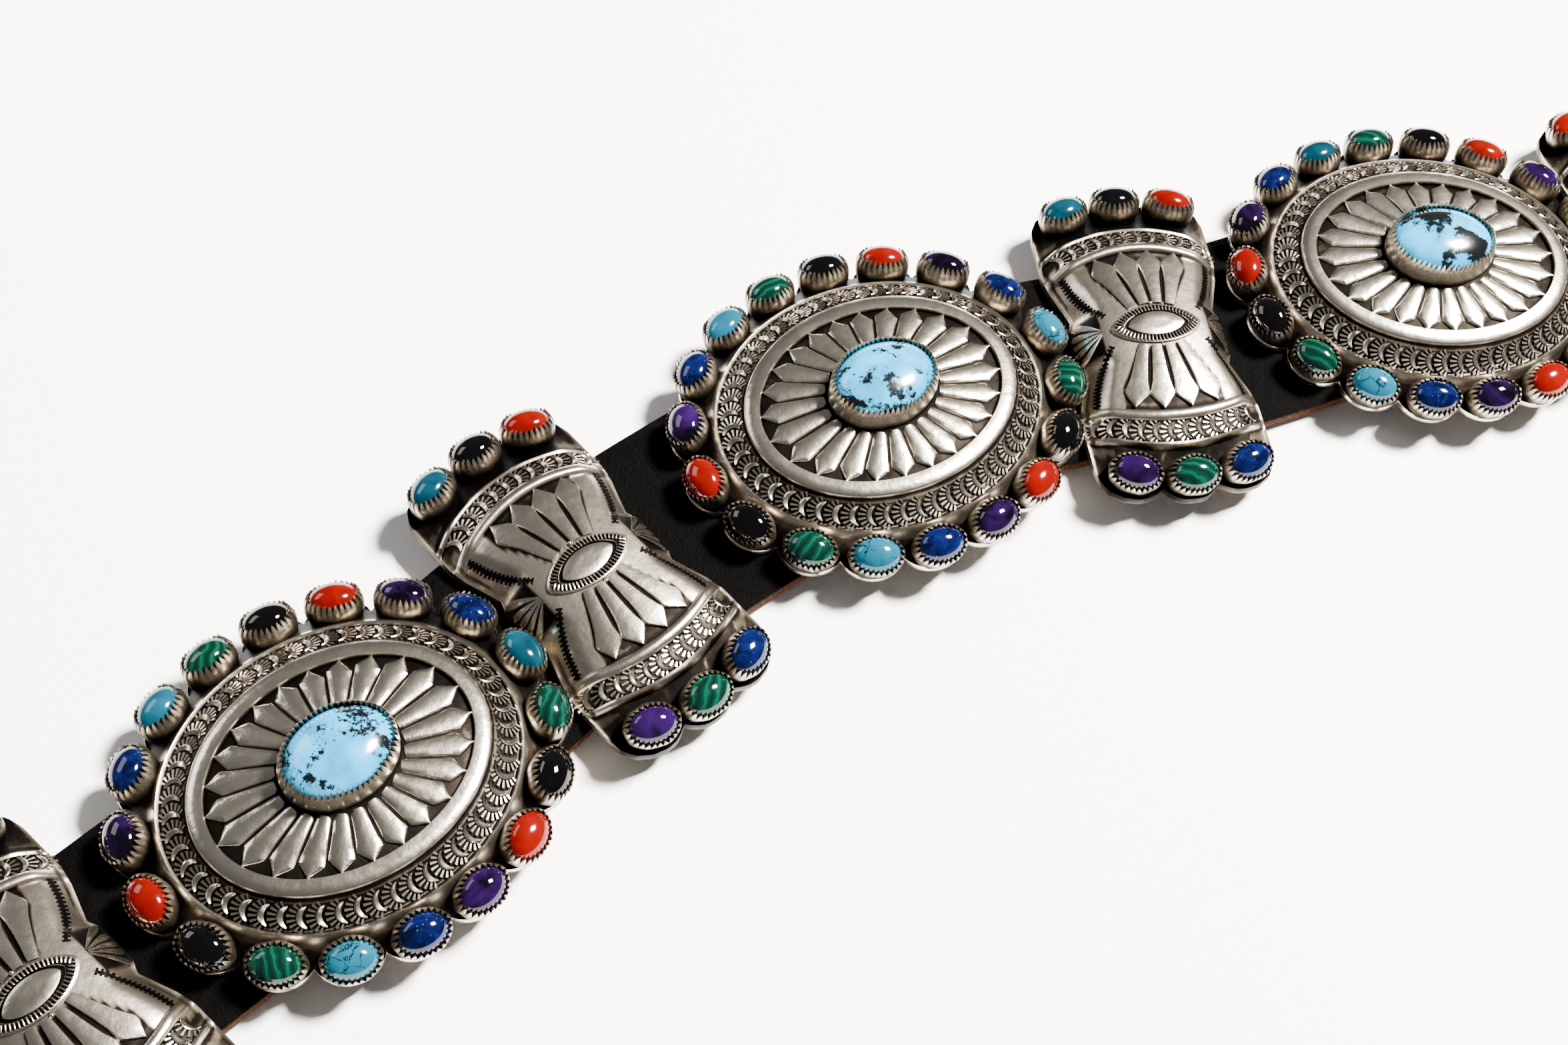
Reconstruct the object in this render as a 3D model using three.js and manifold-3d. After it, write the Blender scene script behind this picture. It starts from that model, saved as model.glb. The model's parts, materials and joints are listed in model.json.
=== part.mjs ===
// Concho belt: six oval silver conchos and seven silver butterflies on a leather strap.
// Millimetres. The belt lies flat in a loose curve, X along it, Z up from the surface it lies on.
import * as THREE from 'three';
import { mergeVertices } from 'three/addons/utils/BufferGeometryUtils.js';
import Module from 'manifold-3d';

// Fits
const seatGap = 0.3; // between pieces that bear on each other
const sheetThickness = 1.4; // silver sheet of the shells
const rimEdge = 0.8; // upright edge of every silver piece
const loopThickness = 1; // strip soldered behind each piece
const loopSideGap = 2.2; // play of the strap between the posts of a belt loop
const conchoLoopWidth = 16;
const butterflyLoopWidth = 10;

// Leather strap
const strapWidth = 40;
const strapThickness = 3;
const strapChamfer = 0.8;
const tailLength = 150; // free end beyond the first butterfly
const tongueLength = 18; // rounded tip of the free end
const leadLength = 36; // from the last butterfly's centre to the clamped end
const spacing = 4; // unit of the open distances between the silver pieces

// Concho, half sizes along and across the belt, heights over its rim plane
const conchoHalfLength = 38.2;
const conchoHalfWidth = 32.4;
const conchoRise = 9;
const lobeCount = 18;
const lobeDepth = 3.3;
const lobeSteps = 4;
const petalCount = 24;
const petalRelief = 0.8;

// Centre stone and its bezel
const centreStoneHalfLength = 9;
const centreStoneHalfWidth = 6.8;
const centreStoneWall = 3.6;
const centreStoneDome = 2.6;
const centreBezelHeight = 5;
const bezelWall = 0.8;

// Rim stones, each one body with its bezel
const conchoBezelClearance = 1.25; // between the mouths of neighbours on their pitch line
const butterflyBezelClearance = 0.27;
const rimBezelAspect = 0.755; // across over along
const rimBezelHeight = 4.3;
const rimStoneDome = 1.5;
const rimBezelTilt = 23; // degrees away from upright
const rimBezelFoot = 0.9; // its foot as a share of its mouth
const rimBezelSides = 8;

// Butterfly, half sizes along and across the belt
const butterflyHalfWidth = 16.6;
const butterflyTabHalfWidth = 14.6;
const butterflyHalfLength = 33.4;
const butterflyRise = 8;
const butterflySideFall = 0.45; // share of the height lost at the side edges
const lensHalfLength = 8.6;
const lensHalfWidth = 4.2;
const lensBorder = 1.4;
const lensRelief = 0.7;

// Friction buckle
const clampLength = 14;
const clampPlate = 1;
const clampSideMargin = 2;
const buckleLength = 36;
const buckleBar = 5;
const buckleThickness = 3;
const buckleSlotWidth = 43;

// Concho rings from the centre bezel out: shares of half length, half width and rise
const conchoRings = [
  { name: 'petal tips', along: 0.585, across: 0.522, height: 0.85, points: 2 * petalCount },
  { name: 'ring inner', along: 0.597, across: 0.536, height: 0.92, points: 36 },
  { name: 'ring outer', along: 0.648, across: 0.602, height: 0.92, points: 36 },
  { name: 'band outer', along: 0.772, across: 0.762, height: 0.48, points: 36 },
  { name: 'ridge crest', along: 0.793, across: 0.784, height: 0.52, points: 36 },
];
const stoneSeat = { along: 0.895, across: 0.892, height: 0.2 };

// Quarter outline of a butterfly: shares of its half width and half length, tab apart
const butterflyOutline = [
  { name: 'notch', x: 0.815, y: 0.165 },
  { name: 'waist', x: 0.89, y: 0.28 },
  { name: 'wing', x: 1, y: 0.48 },
  { name: 'wing end', x: 0.995, y: 0.75 },
  { name: 'shoulder', x: 0.89, y: 0.9 },
  { name: 'side lobe', x: 0.6, y: 0.97 },
  { name: 'cusp', x: 0.315, y: 0.915 },
  { name: 'end lobe', x: 0.175, y: 0.985 },
];
const butterflyTabHalfHeight = 4.5;

// Height of a butterfly along its middle: shares of half length and rise
const butterflyProfile = [
  { y: 0, height: 1 },
  { y: 0.42, height: 0.9 },
  { y: 0.57, height: 0.82 },
  { y: 0.7, height: 0.6 },
  { y: 0.73, height: 0.62 },
  { y: 0.8, height: 0.3 },
  { y: 1, height: 0.1 },
];
const butterflyRim = { x: 0.85, y: 0.82 }; // outline shares where the flat rim behind ends
const butterflyRings = [
  { x: 0.78, y: 0.7 },
  { x: 0.68, y: 0.42 },
];
const butterflySeats = [
  { x: 0, y: 0.875, turn: 0 },
  { x: 0.6, y: 0.83, turn: -20 },
  { x: -0.6, y: 0.83, turn: 20 },
];

// Lie of the belt from its free end: headings and the ways to the next piece in degrees,
// open distance to the next piece in units of spacing
const layout = [
  { kind: 'butterfly', heading: 34, way: 40, open: 0.5 },
  { kind: 'concho', heading: 46, way: 50, open: 0.5 },
  { kind: 'butterfly', heading: 54.6, way: 50.6, open: 1.03 },
  { kind: 'concho', heading: 47.2, way: 53.3, open: 0.15 },
  { kind: 'butterfly', heading: 49.7, way: 43.6, open: 2.3 },
  { kind: 'concho', heading: 37.2, way: 26.7, open: 0.15 },
  { kind: 'butterfly', heading: 17, way: 26.5, open: 1.15 },
  { kind: 'concho', heading: 12, way: 20.5, open: 0.25 },
  { kind: 'butterfly', heading: 28, way: 25, open: 0.6 },
  { kind: 'concho', heading: 21, way: 17, open: 0.6 },
  { kind: 'butterfly', heading: 13, way: 11, open: 0.6 },
  { kind: 'concho', heading: 9, way: 7, open: 0.6 },
  { kind: 'butterfly', heading: 4, way: 0, open: 0 },
];

// Free end, from the first butterfly outwards: share of its length, heading, share of strap lift
const tail = [
  { reach: 0.33, heading: 30, lift: 1 },
  { reach: 0.33, heading: 24, lift: 0.3 },
  { reach: 0.34, heading: 20, lift: 0 },
];
const tongue = [
  { reach: 0, width: 1 },
  { reach: 0.35, width: 0.93 },
  { reach: 0.7, width: 0.72 },
  { reach: 0.92, width: 0.42 },
  { reach: 1, width: 0.14 },
];
const stepsPerPiece = 4;

const strapLift = loopThickness + seatGap;
const rimLift = strapLift + strapThickness + seatGap;

const silver = new THREE.MeshStandardMaterial({ color: 0xb4aea2, roughness: 0.35, metalness: 1 });
const darkSilver = new THREE.MeshStandardMaterial({ color: 0x9a958c, roughness: 0.4, metalness: 1 });
const turquoise = new THREE.MeshStandardMaterial({ color: 0x79c8ef, roughness: 0.25, metalness: 0 });
const blackLeather = new THREE.MeshStandardMaterial({ color: 0x0c0b0b, roughness: 0.8, metalness: 0 });

const wasm = await Module();
wasm.setup();

function radians(degrees) {
  return (degrees * Math.PI) / 180;
}

// Angles of points at equal distances round an ellipse, as fractions of its length
function ellipseLengths(a, b) {
  const steps = 720;
  const lengths = [0];
  for (let i = 1; i <= steps; i += 1) {
    const t = (2 * Math.PI * (i - 0.5)) / steps;
    const step = (2 * Math.PI * Math.hypot(a * Math.sin(t), b * Math.cos(t))) / steps;
    lengths.push(lengths[i - 1] + step);
  }
  return lengths;
}

function ellipseTable(a, b) {
  const lengths = ellipseLengths(a, b);
  return lengths.map((length) => length / lengths[lengths.length - 1]);
}

function ellipseAngle(table, fraction) {
  const wanted = ((fraction % 1) + 1) % 1;
  let i = 1;
  while (i < table.length - 1 && table[i] < wanted) i += 1;
  const share = (wanted - table[i - 1]) / (table[i] - table[i - 1]);
  return (2 * Math.PI * (i - 1 + share)) / (table.length - 1);
}

function ellipseRing(a, b, z, points) {
  const table = ellipseTable(a, b);
  return Array.from({ length: points }, (_, i) => {
    const t = ellipseAngle(table, i / points);
    return [a * Math.cos(t), b * Math.sin(t), z];
  });
}

// Whether d lies inside the circle through a, b and c, which run counter-clockwise
function inCircle(a, b, c, d) {
  const [[ax, ay, az], [bx, by, bz], [cx, cy, cz]] = [a, b, c].map((point) => {
    const x = point[0] - d[0];
    const y = point[1] - d[1];
    return [x, y, x * x + y * y];
  });
  return ax * (by * cz - bz * cy) - ay * (bx * cz - bz * cx) + az * (bx * cy - by * cx) > 1e-6;
}

// Turns the edge between two flat triangles wherever the other diagonal makes them stouter
function turnLongEdges(points, faces) {
  let turned = true;
  while (turned) {
    turned = false;
    const facing = new Map();
    faces.forEach((face, i) => {
      for (let k = 0; k < 3; k += 1) facing.set(`${face[k]} ${face[(k + 1) % 3]}`, [i, k]);
    });
    const moved = new Set();
    for (const [edge, [i, k]] of facing) {
      const [a, b] = edge.split(' ');
      const other = facing.get(`${b} ${a}`);
      if (!other || moved.has(i) || moved.has(other[0])) continue;
      const [from, to, tip] = [faces[i][k], faces[i][(k + 1) % 3], faces[i][(k + 2) % 3]];
      const farTip = faces[other[0]][(other[1] + 2) % 3];
      if (!inCircle(points[from], points[to], points[tip], points[farTip])) continue;
      faces[i] = [tip, from, farTip];
      faces[other[0]] = [tip, farTip, to];
      moved.add(i).add(other[0]);
      turned = true;
    }
  }
}

// Mesh made of rings of points that are joined one to the next, facing outward
class ShellMesh {
  constructor() {
    this.positions = [];
    this.indices = [];
  }

  ring(points) {
    const start = this.positions.length / 3;
    this.positions.push(...points.flat());
    return { start, points };
  }

  join(inner, outer) {
    const n = inner.points.length;
    const m = outer.points.length;
    let i = 0;
    let j = 0;
    while ((n > 1 && i < n) || (m > 1 && j < m)) {
      const a = inner.start + (i % n);
      const b = outer.start + (j % m);
      const onOuter = m > 1 && (n === 1 || i >= n || (j + 1) / m <= (i + 1) / n);
      if (onOuter) {
        this.indices.push(a, b, outer.start + ((j + 1) % m));
        j += 1;
      } else {
        this.indices.push(a, b, inner.start + ((i + 1) % n));
        i += 1;
      }
    }
  }

  // Joins each ring in turn to the one before it
  chain(rings, from) {
    let last = from;
    for (const points of rings) {
      const next = this.ring(points);
      if (last) this.join(last, next);
      last = next;
    }
    return last;
  }

  // Fills the face between an outer ring and the rings that stand inside it
  fill(outer, holes) {
    const flat = (ring) => ring.points.map(([x, y]) => new THREE.Vector2(x, y));
    const order = [outer, ...holes].flatMap((ring) => ring.points.map((_, i) => ring.start + i));
    const faces = THREE.ShapeUtils.triangulateShape(flat(outer), holes.map(flat));
    turnLongEdges([outer, ...holes].flatMap((ring) => ring.points), faces);
    for (const face of faces) this.indices.push(...face.map((corner) => order[corner]));
  }

  // Bezel with its domed stone; returns the ring where it stands on the shell
  rimStone(x, y, z, outward, halfLength) {
    const place = new THREE.Matrix4().makeTranslation(x, y, z);
    place.multiply(new THREE.Matrix4().makeRotationZ(outward));
    place.multiply(new THREE.Matrix4().makeRotationY(radians(rimBezelTilt)));
    const put = (px, py, pz) => new THREE.Vector3(px, py, pz).applyMatrix4(place).toArray();
    const oval = (share, height) => Array.from({ length: rimBezelSides }, (_, i) => {
      const t = (2 * Math.PI * (i + 0.5)) / rimBezelSides;
      const across = share * halfLength * rimBezelAspect * Math.cos(t);
      return put(across, share * halfLength * Math.sin(t), height);
    });
    const apex = put(0, 0, rimBezelHeight + rimStoneDome);
    const foot = oval(rimBezelFoot, 0).map(([px, py, pz]) => [px, py, Math.max(pz, rimEdge)]);
    return this.chain([[apex], oval(1, rimBezelHeight), foot]);
  }

  toGeometry() {
    const geometry = new THREE.BufferGeometry();
    geometry.setAttribute('position', new THREE.Float32BufferAttribute(this.positions, 3));
    geometry.setIndex(this.indices);
    return geometry;
  }
}

function stitch(rings) {
  const mesh = new ShellMesh();
  mesh.chain(rings);
  return mesh.toGeometry();
}

function toSolid(geometry) {
  const bare = geometry.clone();
  bare.deleteAttribute('normal');
  bare.deleteAttribute('uv');
  const merged = mergeVertices(bare, 1e-4);
  return new wasm.Manifold(
    new wasm.Mesh({
      numProp: 3,
      vertProperties: new Float32Array(merged.attributes.position.array),
      triVerts: new Uint32Array(merged.index.array),
    }),
  );
}

function toGeometry(solid) {
  const mesh = solid.getMesh();
  const geometry = new THREE.BufferGeometry();
  geometry.setAttribute('position', new THREE.Float32BufferAttribute(mesh.vertProperties, 3));
  geometry.setIndex(new THREE.Uint32BufferAttribute(mesh.triVerts, 1));
  return geometry;
}

function fuse(geometries) {
  const solids = geometries.map(toSolid);
  return toGeometry(solids.reduce((whole, piece) => whole.add(piece)));
}

// Height of a section table at a share of the half size, by straight lines between its rows
function tableHeight(rows, share, key) {
  let i = 1;
  while (i < rows.length - 1 && rows[i][key] < share) i += 1;
  const low = rows[i - 1];
  const high = rows[i];
  const step = (share - low[key]) / (high[key] - low[key]);
  return low.height + (high.height - low.height) * step;
}

// Edge of scallops round a concho, each an arc bowed out round the seat of its stone
function lobedRing(z) {
  const a = stoneSeat.along * conchoHalfLength;
  const b = stoneSeat.across * conchoHalfWidth;
  const table = ellipseTable(a, b);
  const bow = 0.88;
  const sag = (u) => (1 - Math.sqrt(1 - (u * bow) ** 2)) / (1 - Math.sqrt(1 - bow ** 2));
  const ring = [];
  for (let lobe = 0; lobe < lobeCount; lobe += 1) {
    for (let step = 0; step < lobeSteps; step += 1) {
      const u = (2 * step) / lobeSteps - 1;
      const t = ellipseAngle(table, (lobe + u / 2) / lobeCount);
      const normal = new THREE.Vector2(Math.cos(t) / a, Math.sin(t) / b).normalize();
      const drop = lobeDepth * sag(u);
      const x = a * Math.cos(t) + normal.x * (conchoHalfLength - a - drop);
      const y = b * Math.sin(t) + normal.y * (conchoHalfWidth - b - drop);
      ring.push([x, y, z]);
    }
  }
  return ring;
}

// Strip that holds the strap: a flat U whose two posts are soldered into the shell
function beltLoop(width, topZ) {
  const inner = strapWidth / 2 + loopSideGap;
  const outer = inner + loopThickness;
  const shape = new THREE.Shape();
  shape.moveTo(-outer, topZ);
  shape.lineTo(-outer, -rimLift);
  shape.lineTo(outer, -rimLift);
  shape.lineTo(outer, topZ);
  shape.lineTo(inner, topZ);
  shape.lineTo(inner, loopThickness - rimLift);
  shape.lineTo(-inner, loopThickness - rimLift);
  shape.lineTo(-inner, topZ);
  const geometry = new THREE.ExtrudeGeometry(shape, { depth: width, bevelEnabled: false });
  geometry.rotateX(Math.PI / 2);
  geometry.rotateZ(Math.PI / 2);
  geometry.translate(-width / 2, 0, 0);
  return geometry;
}

function conchoShell() {
  const floor = conchoRise;
  const holeLength = centreStoneHalfLength + seatGap;
  const holeWidth = centreStoneHalfWidth + seatGap;
  const bezelTop = floor + centreBezelHeight;
  const mesh = new ShellMesh();
  const bezel = mesh.chain([
    [[0, 0, floor]],
    ellipseRing(holeLength, holeWidth, floor, lobeCount),
    ellipseRing(holeLength, holeWidth, bezelTop, lobeCount),
    ellipseRing(holeLength + bezelWall, holeWidth + bezelWall, bezelTop, lobeCount),
    ellipseRing(holeLength + bezelWall, holeWidth + bezelWall, floor, petalCount),
  ]);
  const dome = conchoRings.map((row) => {
    const a = row.along * conchoHalfLength;
    const b = row.across * conchoHalfWidth;
    return ellipseRing(a, b, row.height * conchoRise, row.points);
  });
  dome[0].forEach((point, i) => {
    point[2] += i % 2 ? -petalRelief / 2 : petalRelief / 2;
  });
  const crest = mesh.chain(dome, bezel);

  const a = stoneSeat.along * conchoHalfLength;
  const b = stoneSeat.across * conchoHalfWidth;
  const table = ellipseTable(a, b);
  const pitch = ellipseLengths(a, b).pop() / lobeCount;
  const halfLength = (pitch - conchoBezelClearance) / 2;
  const seatZ = stoneSeat.height * conchoRise;
  const stones = Array.from({ length: lobeCount }, (_, i) => {
    const t = ellipseAngle(table, i / lobeCount);
    const outward = Math.atan2(Math.sin(t) / b, Math.cos(t) / a);
    return mesh.rimStone(a * Math.cos(t), b * Math.sin(t), seatZ, outward, halfLength);
  });
  const edge = mesh.ring(lobedRing(rimEdge));
  mesh.fill(edge, [crest, ...stones]);

  const flatRim = { ...stoneSeat, height: sheetThickness / conchoRise };
  const under = [flatRim, conchoRings[3], conchoRings[2]].map((row) => {
    const innerLength = row.along * conchoHalfLength - sheetThickness;
    const innerWidth = row.across * conchoHalfWidth - sheetThickness;
    return ellipseRing(innerLength, innerWidth, row.height * conchoRise - sheetThickness, lobeCount);
  });
  const foot = lobedRing(0);
  mesh.chain([foot, ...under, [[0, 0, floor - sheetThickness]]], edge);
  return mesh.toGeometry();
}

function concho() {
  const postX = conchoLoopWidth / 2 / conchoHalfLength;
  const postY = (strapWidth / 2 + loopSideGap + loopThickness) / conchoHalfWidth;
  const surface = conchoRise * tableHeight(conchoRings, Math.hypot(postX, postY), 'along');
  return fuse([conchoShell(), beltLoop(conchoLoopWidth, surface - sheetThickness / 2)]);
}

function butterflyHeight(x, y) {
  const middle = tableHeight(butterflyProfile, Math.abs(y) / butterflyHalfLength, 'y');
  const fall = butterflySideFall * (x / butterflyHalfWidth) ** 2;
  return butterflyRise * middle * (1 - fall);
}

// Points round a butterfly from +X, one quarter mirrored into the other three
function butterflyEdge() {
  const quarter = [[butterflyTabHalfWidth, butterflyTabHalfHeight]];
  for (const row of butterflyOutline) {
    quarter.push([row.x * butterflyHalfWidth, row.y * butterflyHalfLength]);
  }
  const back = [...quarter].reverse();
  return [
    [butterflyTabHalfWidth, 0],
    ...quarter,
    [0, butterflyHalfLength],
    ...back.map(([x, y]) => [-x, y]),
    [-butterflyTabHalfWidth, 0],
    ...quarter.map(([x, y]) => [-x, -y]),
    [0, -butterflyHalfLength],
    ...back.map(([x, y]) => [x, -y]),
  ];
}

function lensRing(margin, z) {
  const a = lensHalfLength - 2 * margin;
  const b = lensHalfWidth - margin;
  const points = 8;
  return Array.from({ length: points }, (_, i) => {
    const t = (2 * Math.PI * i) / points;
    return [a * Math.cos(t), b * Math.sin(t) * Math.abs(Math.sin(t)) ** 0.35, z];
  });
}

function butterflyBezelHalfLength() {
  const [middle, side] = butterflySeats;
  const alongPitch = (side.x - middle.x) * butterflyHalfWidth;
  const acrossPitch = (side.y - middle.y) * butterflyHalfLength;
  return (Math.hypot(alongPitch, acrossPitch) - butterflyBezelClearance) / 2;
}

function butterflyShell() {
  const bezelHalfLength = butterflyBezelHalfLength();
  const edgePoints = butterflyEdge();
  const inset = (share, sink) => edgePoints
    .filter((_, i) => i % 2 === 1)
    .map(([x, y]) => [x * share.x, y * share.y])
    .map(([x, y]) => [x, y, butterflyHeight(x, y) - sink]);
  const mesh = new ShellMesh();
  const [outerRing, innerRing] = butterflyRings;
  const field = mesh.chain([
    [[0, 0, butterflyRise + lensRelief]],
    lensRing(lensBorder, butterflyRise + lensRelief * 0.6),
    lensRing(0, butterflyHeight(lensHalfLength, 0)),
    inset(innerRing, 0),
    inset(outerRing, 0),
  ]);
  const stones = [];
  for (const side of [1, -1]) {
    for (const row of butterflySeats) {
      const x = row.x * butterflyHalfWidth;
      const y = side * row.y * butterflyHalfLength;
      const outward = radians(side * (90 + row.turn));
      stones.push(mesh.rimStone(x, y, butterflyHeight(x, y), outward, bezelHalfLength));
    }
  }
  const edge = mesh.ring(edgePoints.map(([x, y]) => [x, y, rimEdge]));
  mesh.fill(edge, [field, ...stones]);
  const foot = edgePoints.map(([x, y]) => [x, y, 0]);
  const flatRim = inset(butterflyRim, 0).map(([x, y]) => [x, y, 0]);
  const hollow = butterflyRings.map((ring) => inset(ring, sheetThickness));
  const top = [[0, 0, butterflyRise - sheetThickness]];
  mesh.chain([foot, flatRim, ...hollow, top], edge);
  return mesh.toGeometry();
}

function butterfly() {
  const postY = strapWidth / 2 + loopSideGap + loopThickness;
  const surface = butterflyHeight(butterflyLoopWidth / 2, postY);
  return fuse([beltLoop(butterflyLoopWidth, surface - sheetThickness / 2), butterflyShell()]);
}

function centreStone() {
  const a = centreStoneHalfLength;
  const b = centreStoneHalfWidth;
  const foot = conchoRise + seatGap;
  const girdle = foot + centreStoneWall;
  return stitch([
    [[0, 0, girdle + centreStoneDome]],
    ellipseRing(a * 0.72, b * 0.72, girdle + centreStoneDome * 0.68, lobeCount),
    ellipseRing(a, b, girdle, lobeCount),
    ellipseRing(a, b, foot, lobeCount),
    [[0, 0, foot]],
  ]);
}

// Places of the silver pieces: each is as far from the last as their half sizes ask
function placePieces() {
  const halfSize = { butterfly: butterflyTabHalfWidth, concho: conchoHalfLength };
  const places = [];
  let x = 0;
  let y = 0;
  layout.forEach((row, i) => {
    places.push({ ...row, x, y });
    const next = layout[i + 1];
    if (next) {
      const step = halfSize[row.kind] + halfSize[next.kind] + row.open * spacing;
      x += step * Math.cos(radians(row.way));
      y += step * Math.sin(radians(row.way));
    }
  });
  return places;
}

// Stations of the strap's middle line: the free end, one under each piece, the clamped end
function strapStations(places) {
  const stations = places.map((place, i) => {
    const before = places[Math.max(i - 1, 0)].way;
    const course = i === 0 ? place.way : (before + place.way) / 2;
    return { x: place.x, y: place.y, lift: strapLift, heading: (course + place.heading) / 2 };
  });
  let { x, y, heading } = stations[0];
  for (const row of tail) {
    const turn = radians((heading + row.heading) / 2);
    x -= row.reach * tailLength * Math.cos(turn);
    y -= row.reach * tailLength * Math.sin(turn);
    heading = row.heading;
    stations.unshift({ x, y, lift: row.lift * strapLift, heading });
  }
  const last = stations[stations.length - 1];
  stations.push({ x: last.x + leadLength, y: last.y, lift: strapLift, heading: 0 });
  return stations;
}

function strapSections(stations) {
  const sections = [];
  for (let i = 0; i + 1 < stations.length; i += 1) {
    const from = stations[i];
    const to = stations[i + 1];
    const length = Math.hypot(to.x - from.x, to.y - from.y);
    const start = { x: Math.cos(radians(from.heading)), y: Math.sin(radians(from.heading)) };
    const end = { x: Math.cos(radians(to.heading)), y: Math.sin(radians(to.heading)) };
    for (let k = i === 0 ? 0 : 1; k <= stepsPerPiece; k += 1) {
      const u = k / stepsPerPiece;
      const h00 = 2 * u ** 3 - 3 * u ** 2 + 1;
      const h10 = (u ** 3 - 2 * u ** 2 + u) * length;
      const h01 = 3 * u ** 2 - 2 * u ** 3;
      const h11 = (u ** 3 - u ** 2) * length;
      sections.push({
        x: h00 * from.x + h10 * start.x + h01 * to.x + h11 * end.x,
        y: h00 * from.y + h10 * start.y + h01 * to.y + h11 * end.y,
        lift: from.lift + (to.lift - from.lift) * u,
        heading: from.heading + (to.heading - from.heading) * u,
        width: 1,
      });
    }
  }
  return sections;
}

function strap(places) {
  const sections = strapSections(strapStations(places));
  const tip = sections.shift();
  const ahead = { x: Math.cos(radians(tip.heading)), y: Math.sin(radians(tip.heading)) };
  for (const row of tongue) {
    const back = row.reach * tongueLength;
    sections.unshift({ ...tip, x: tip.x - back * ahead.x, y: tip.y - back * ahead.y, width: row.width });
  }
  const rings = sections.map((section, i) => {
    const before = sections[Math.max(i - 1, 0)];
    const after = sections[Math.min(i + 1, sections.length - 1)];
    const angle = Math.atan2(after.y - before.y, after.x - before.x);
    const half = (strapWidth / 2) * section.width;
    const chamfer = strapChamfer * section.width;
    const outline = [
      [-half, 0],
      [-half, strapThickness - chamfer],
      [chamfer - half, strapThickness],
      [half - chamfer, strapThickness],
      [half, strapThickness - chamfer],
      [half, 0],
    ];
    return outline.map(([side, z]) => [
      section.x - side * Math.sin(angle),
      section.y + side * Math.cos(angle),
      section.lift + z,
    ]);
  });
  const middle = (ring) => {
    const sum = ring.reduce((total, point) => total.map((value, k) => value + point[k]), [0, 0, 0]);
    return [sum.map((value) => value / ring.length)];
  };
  return stitch([middle(rings[0]), ...rings, middle(rings[rings.length - 1])]);
}

// Buckle: a clamp folded round the strap's end, and a frame with one bar between two slots
function buckle() {
  const clampHalf = strapWidth / 2 + clampSideMargin;
  const top = strapLift + strapThickness + seatGap;
  const webEnd = seatGap + 0.7 * buckleBar;
  const clampShape = new THREE.Shape();
  clampShape.moveTo(-clampLength, 0);
  clampShape.lineTo(webEnd, 0);
  clampShape.lineTo(webEnd, top + clampPlate);
  clampShape.lineTo(-clampLength, top + clampPlate);
  clampShape.lineTo(-clampLength, top);
  clampShape.lineTo(seatGap, top);
  clampShape.lineTo(seatGap, strapLift - seatGap);
  clampShape.lineTo(-clampLength, strapLift - seatGap);
  const clamp = new THREE.ExtrudeGeometry(clampShape, { depth: 2 * clampHalf, bevelEnabled: false });
  clamp.rotateX(Math.PI / 2);
  clamp.translate(0, clampHalf, 0);

  const start = seatGap;
  const outerHalf = buckleSlotWidth / 2 + buckleBar;
  const frameShape = new THREE.Shape();
  frameShape.moveTo(start, -outerHalf);
  frameShape.lineTo(start + buckleLength - buckleBar, -outerHalf);
  frameShape.lineTo(start + buckleLength, buckleBar - outerHalf);
  frameShape.lineTo(start + buckleLength, outerHalf - buckleBar);
  frameShape.lineTo(start + buckleLength - buckleBar, outerHalf);
  frameShape.lineTo(start, outerHalf);
  const frame = new THREE.ExtrudeGeometry(frameShape, { depth: buckleThickness, bevelEnabled: false });
  const slotLength = (buckleLength - 3 * buckleBar) / 2;
  let solid = toSolid(clamp).add(toSolid(frame));
  for (const from of [start + buckleBar, start + 2 * buckleBar + slotLength]) {
    const slot = new THREE.BoxGeometry(slotLength, buckleSlotWidth, 3 * buckleThickness);
    slot.translate(from + slotLength / 2, 0, buckleThickness / 2);
    solid = solid.subtract(toSolid(slot));
  }
  return toGeometry(solid);
}

function addMesh(group, name, geometry, material, place) {
  const mesh = new THREE.Mesh(geometry, material);
  mesh.name = name;
  mesh.position.set(place.x, place.y, place.z);
  mesh.rotation.z = radians(place.heading);
  group.add(mesh);
}

const belt = new THREE.Group();
const places = placePieces();
const conchoGeometry = concho();
const butterflyGeometry = butterfly();
const stoneGeometry = centreStone();
const counts = { butterfly: 0, concho: 0 };

for (const { kind, x, y, heading } of places) {
  counts[kind] += 1;
  const number = counts[kind];
  const place = { x, y, z: rimLift, heading };
  if (kind === 'concho') {
    addMesh(belt, `concho_${number}`, conchoGeometry, silver, place);
    addMesh(belt, `center_stone_${number}`, stoneGeometry, turquoise, place);
  } else {
    addMesh(belt, `butterfly_${number}`, butterflyGeometry, silver, place);
  }
}

const atFrame = { x: 0, y: 0, z: 0, heading: 0 };
addMesh(belt, 'strap', strap(places), blackLeather, atFrame);
const lastPlace = places[places.length - 1];
const strapEnd = { x: lastPlace.x + leadLength, y: lastPlace.y, z: 0, heading: 0 };
addMesh(belt, 'buckle', buckle(), darkSilver, strapEnd);

// The origin lies on the resting surface, under the middle of the whole belt
belt.updateMatrixWorld(true);
const extent = new THREE.Box3().setFromObject(belt);
const middleX = (extent.min.x + extent.max.x) / 2;
const middleY = (extent.min.y + extent.max.y) / 2;
belt.position.set(-middleX, -middleY, -extent.min.z);

export default belt;
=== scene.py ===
# Looks of a silver and stone concho belt on a leather strap.
# Shapes are worked out in millimetres and scaled once, when they are placed in the frame.
import json
import math
from functools import partial

import bmesh
import bpy
import numpy as np
from mathutils import Matrix, Vector

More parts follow.
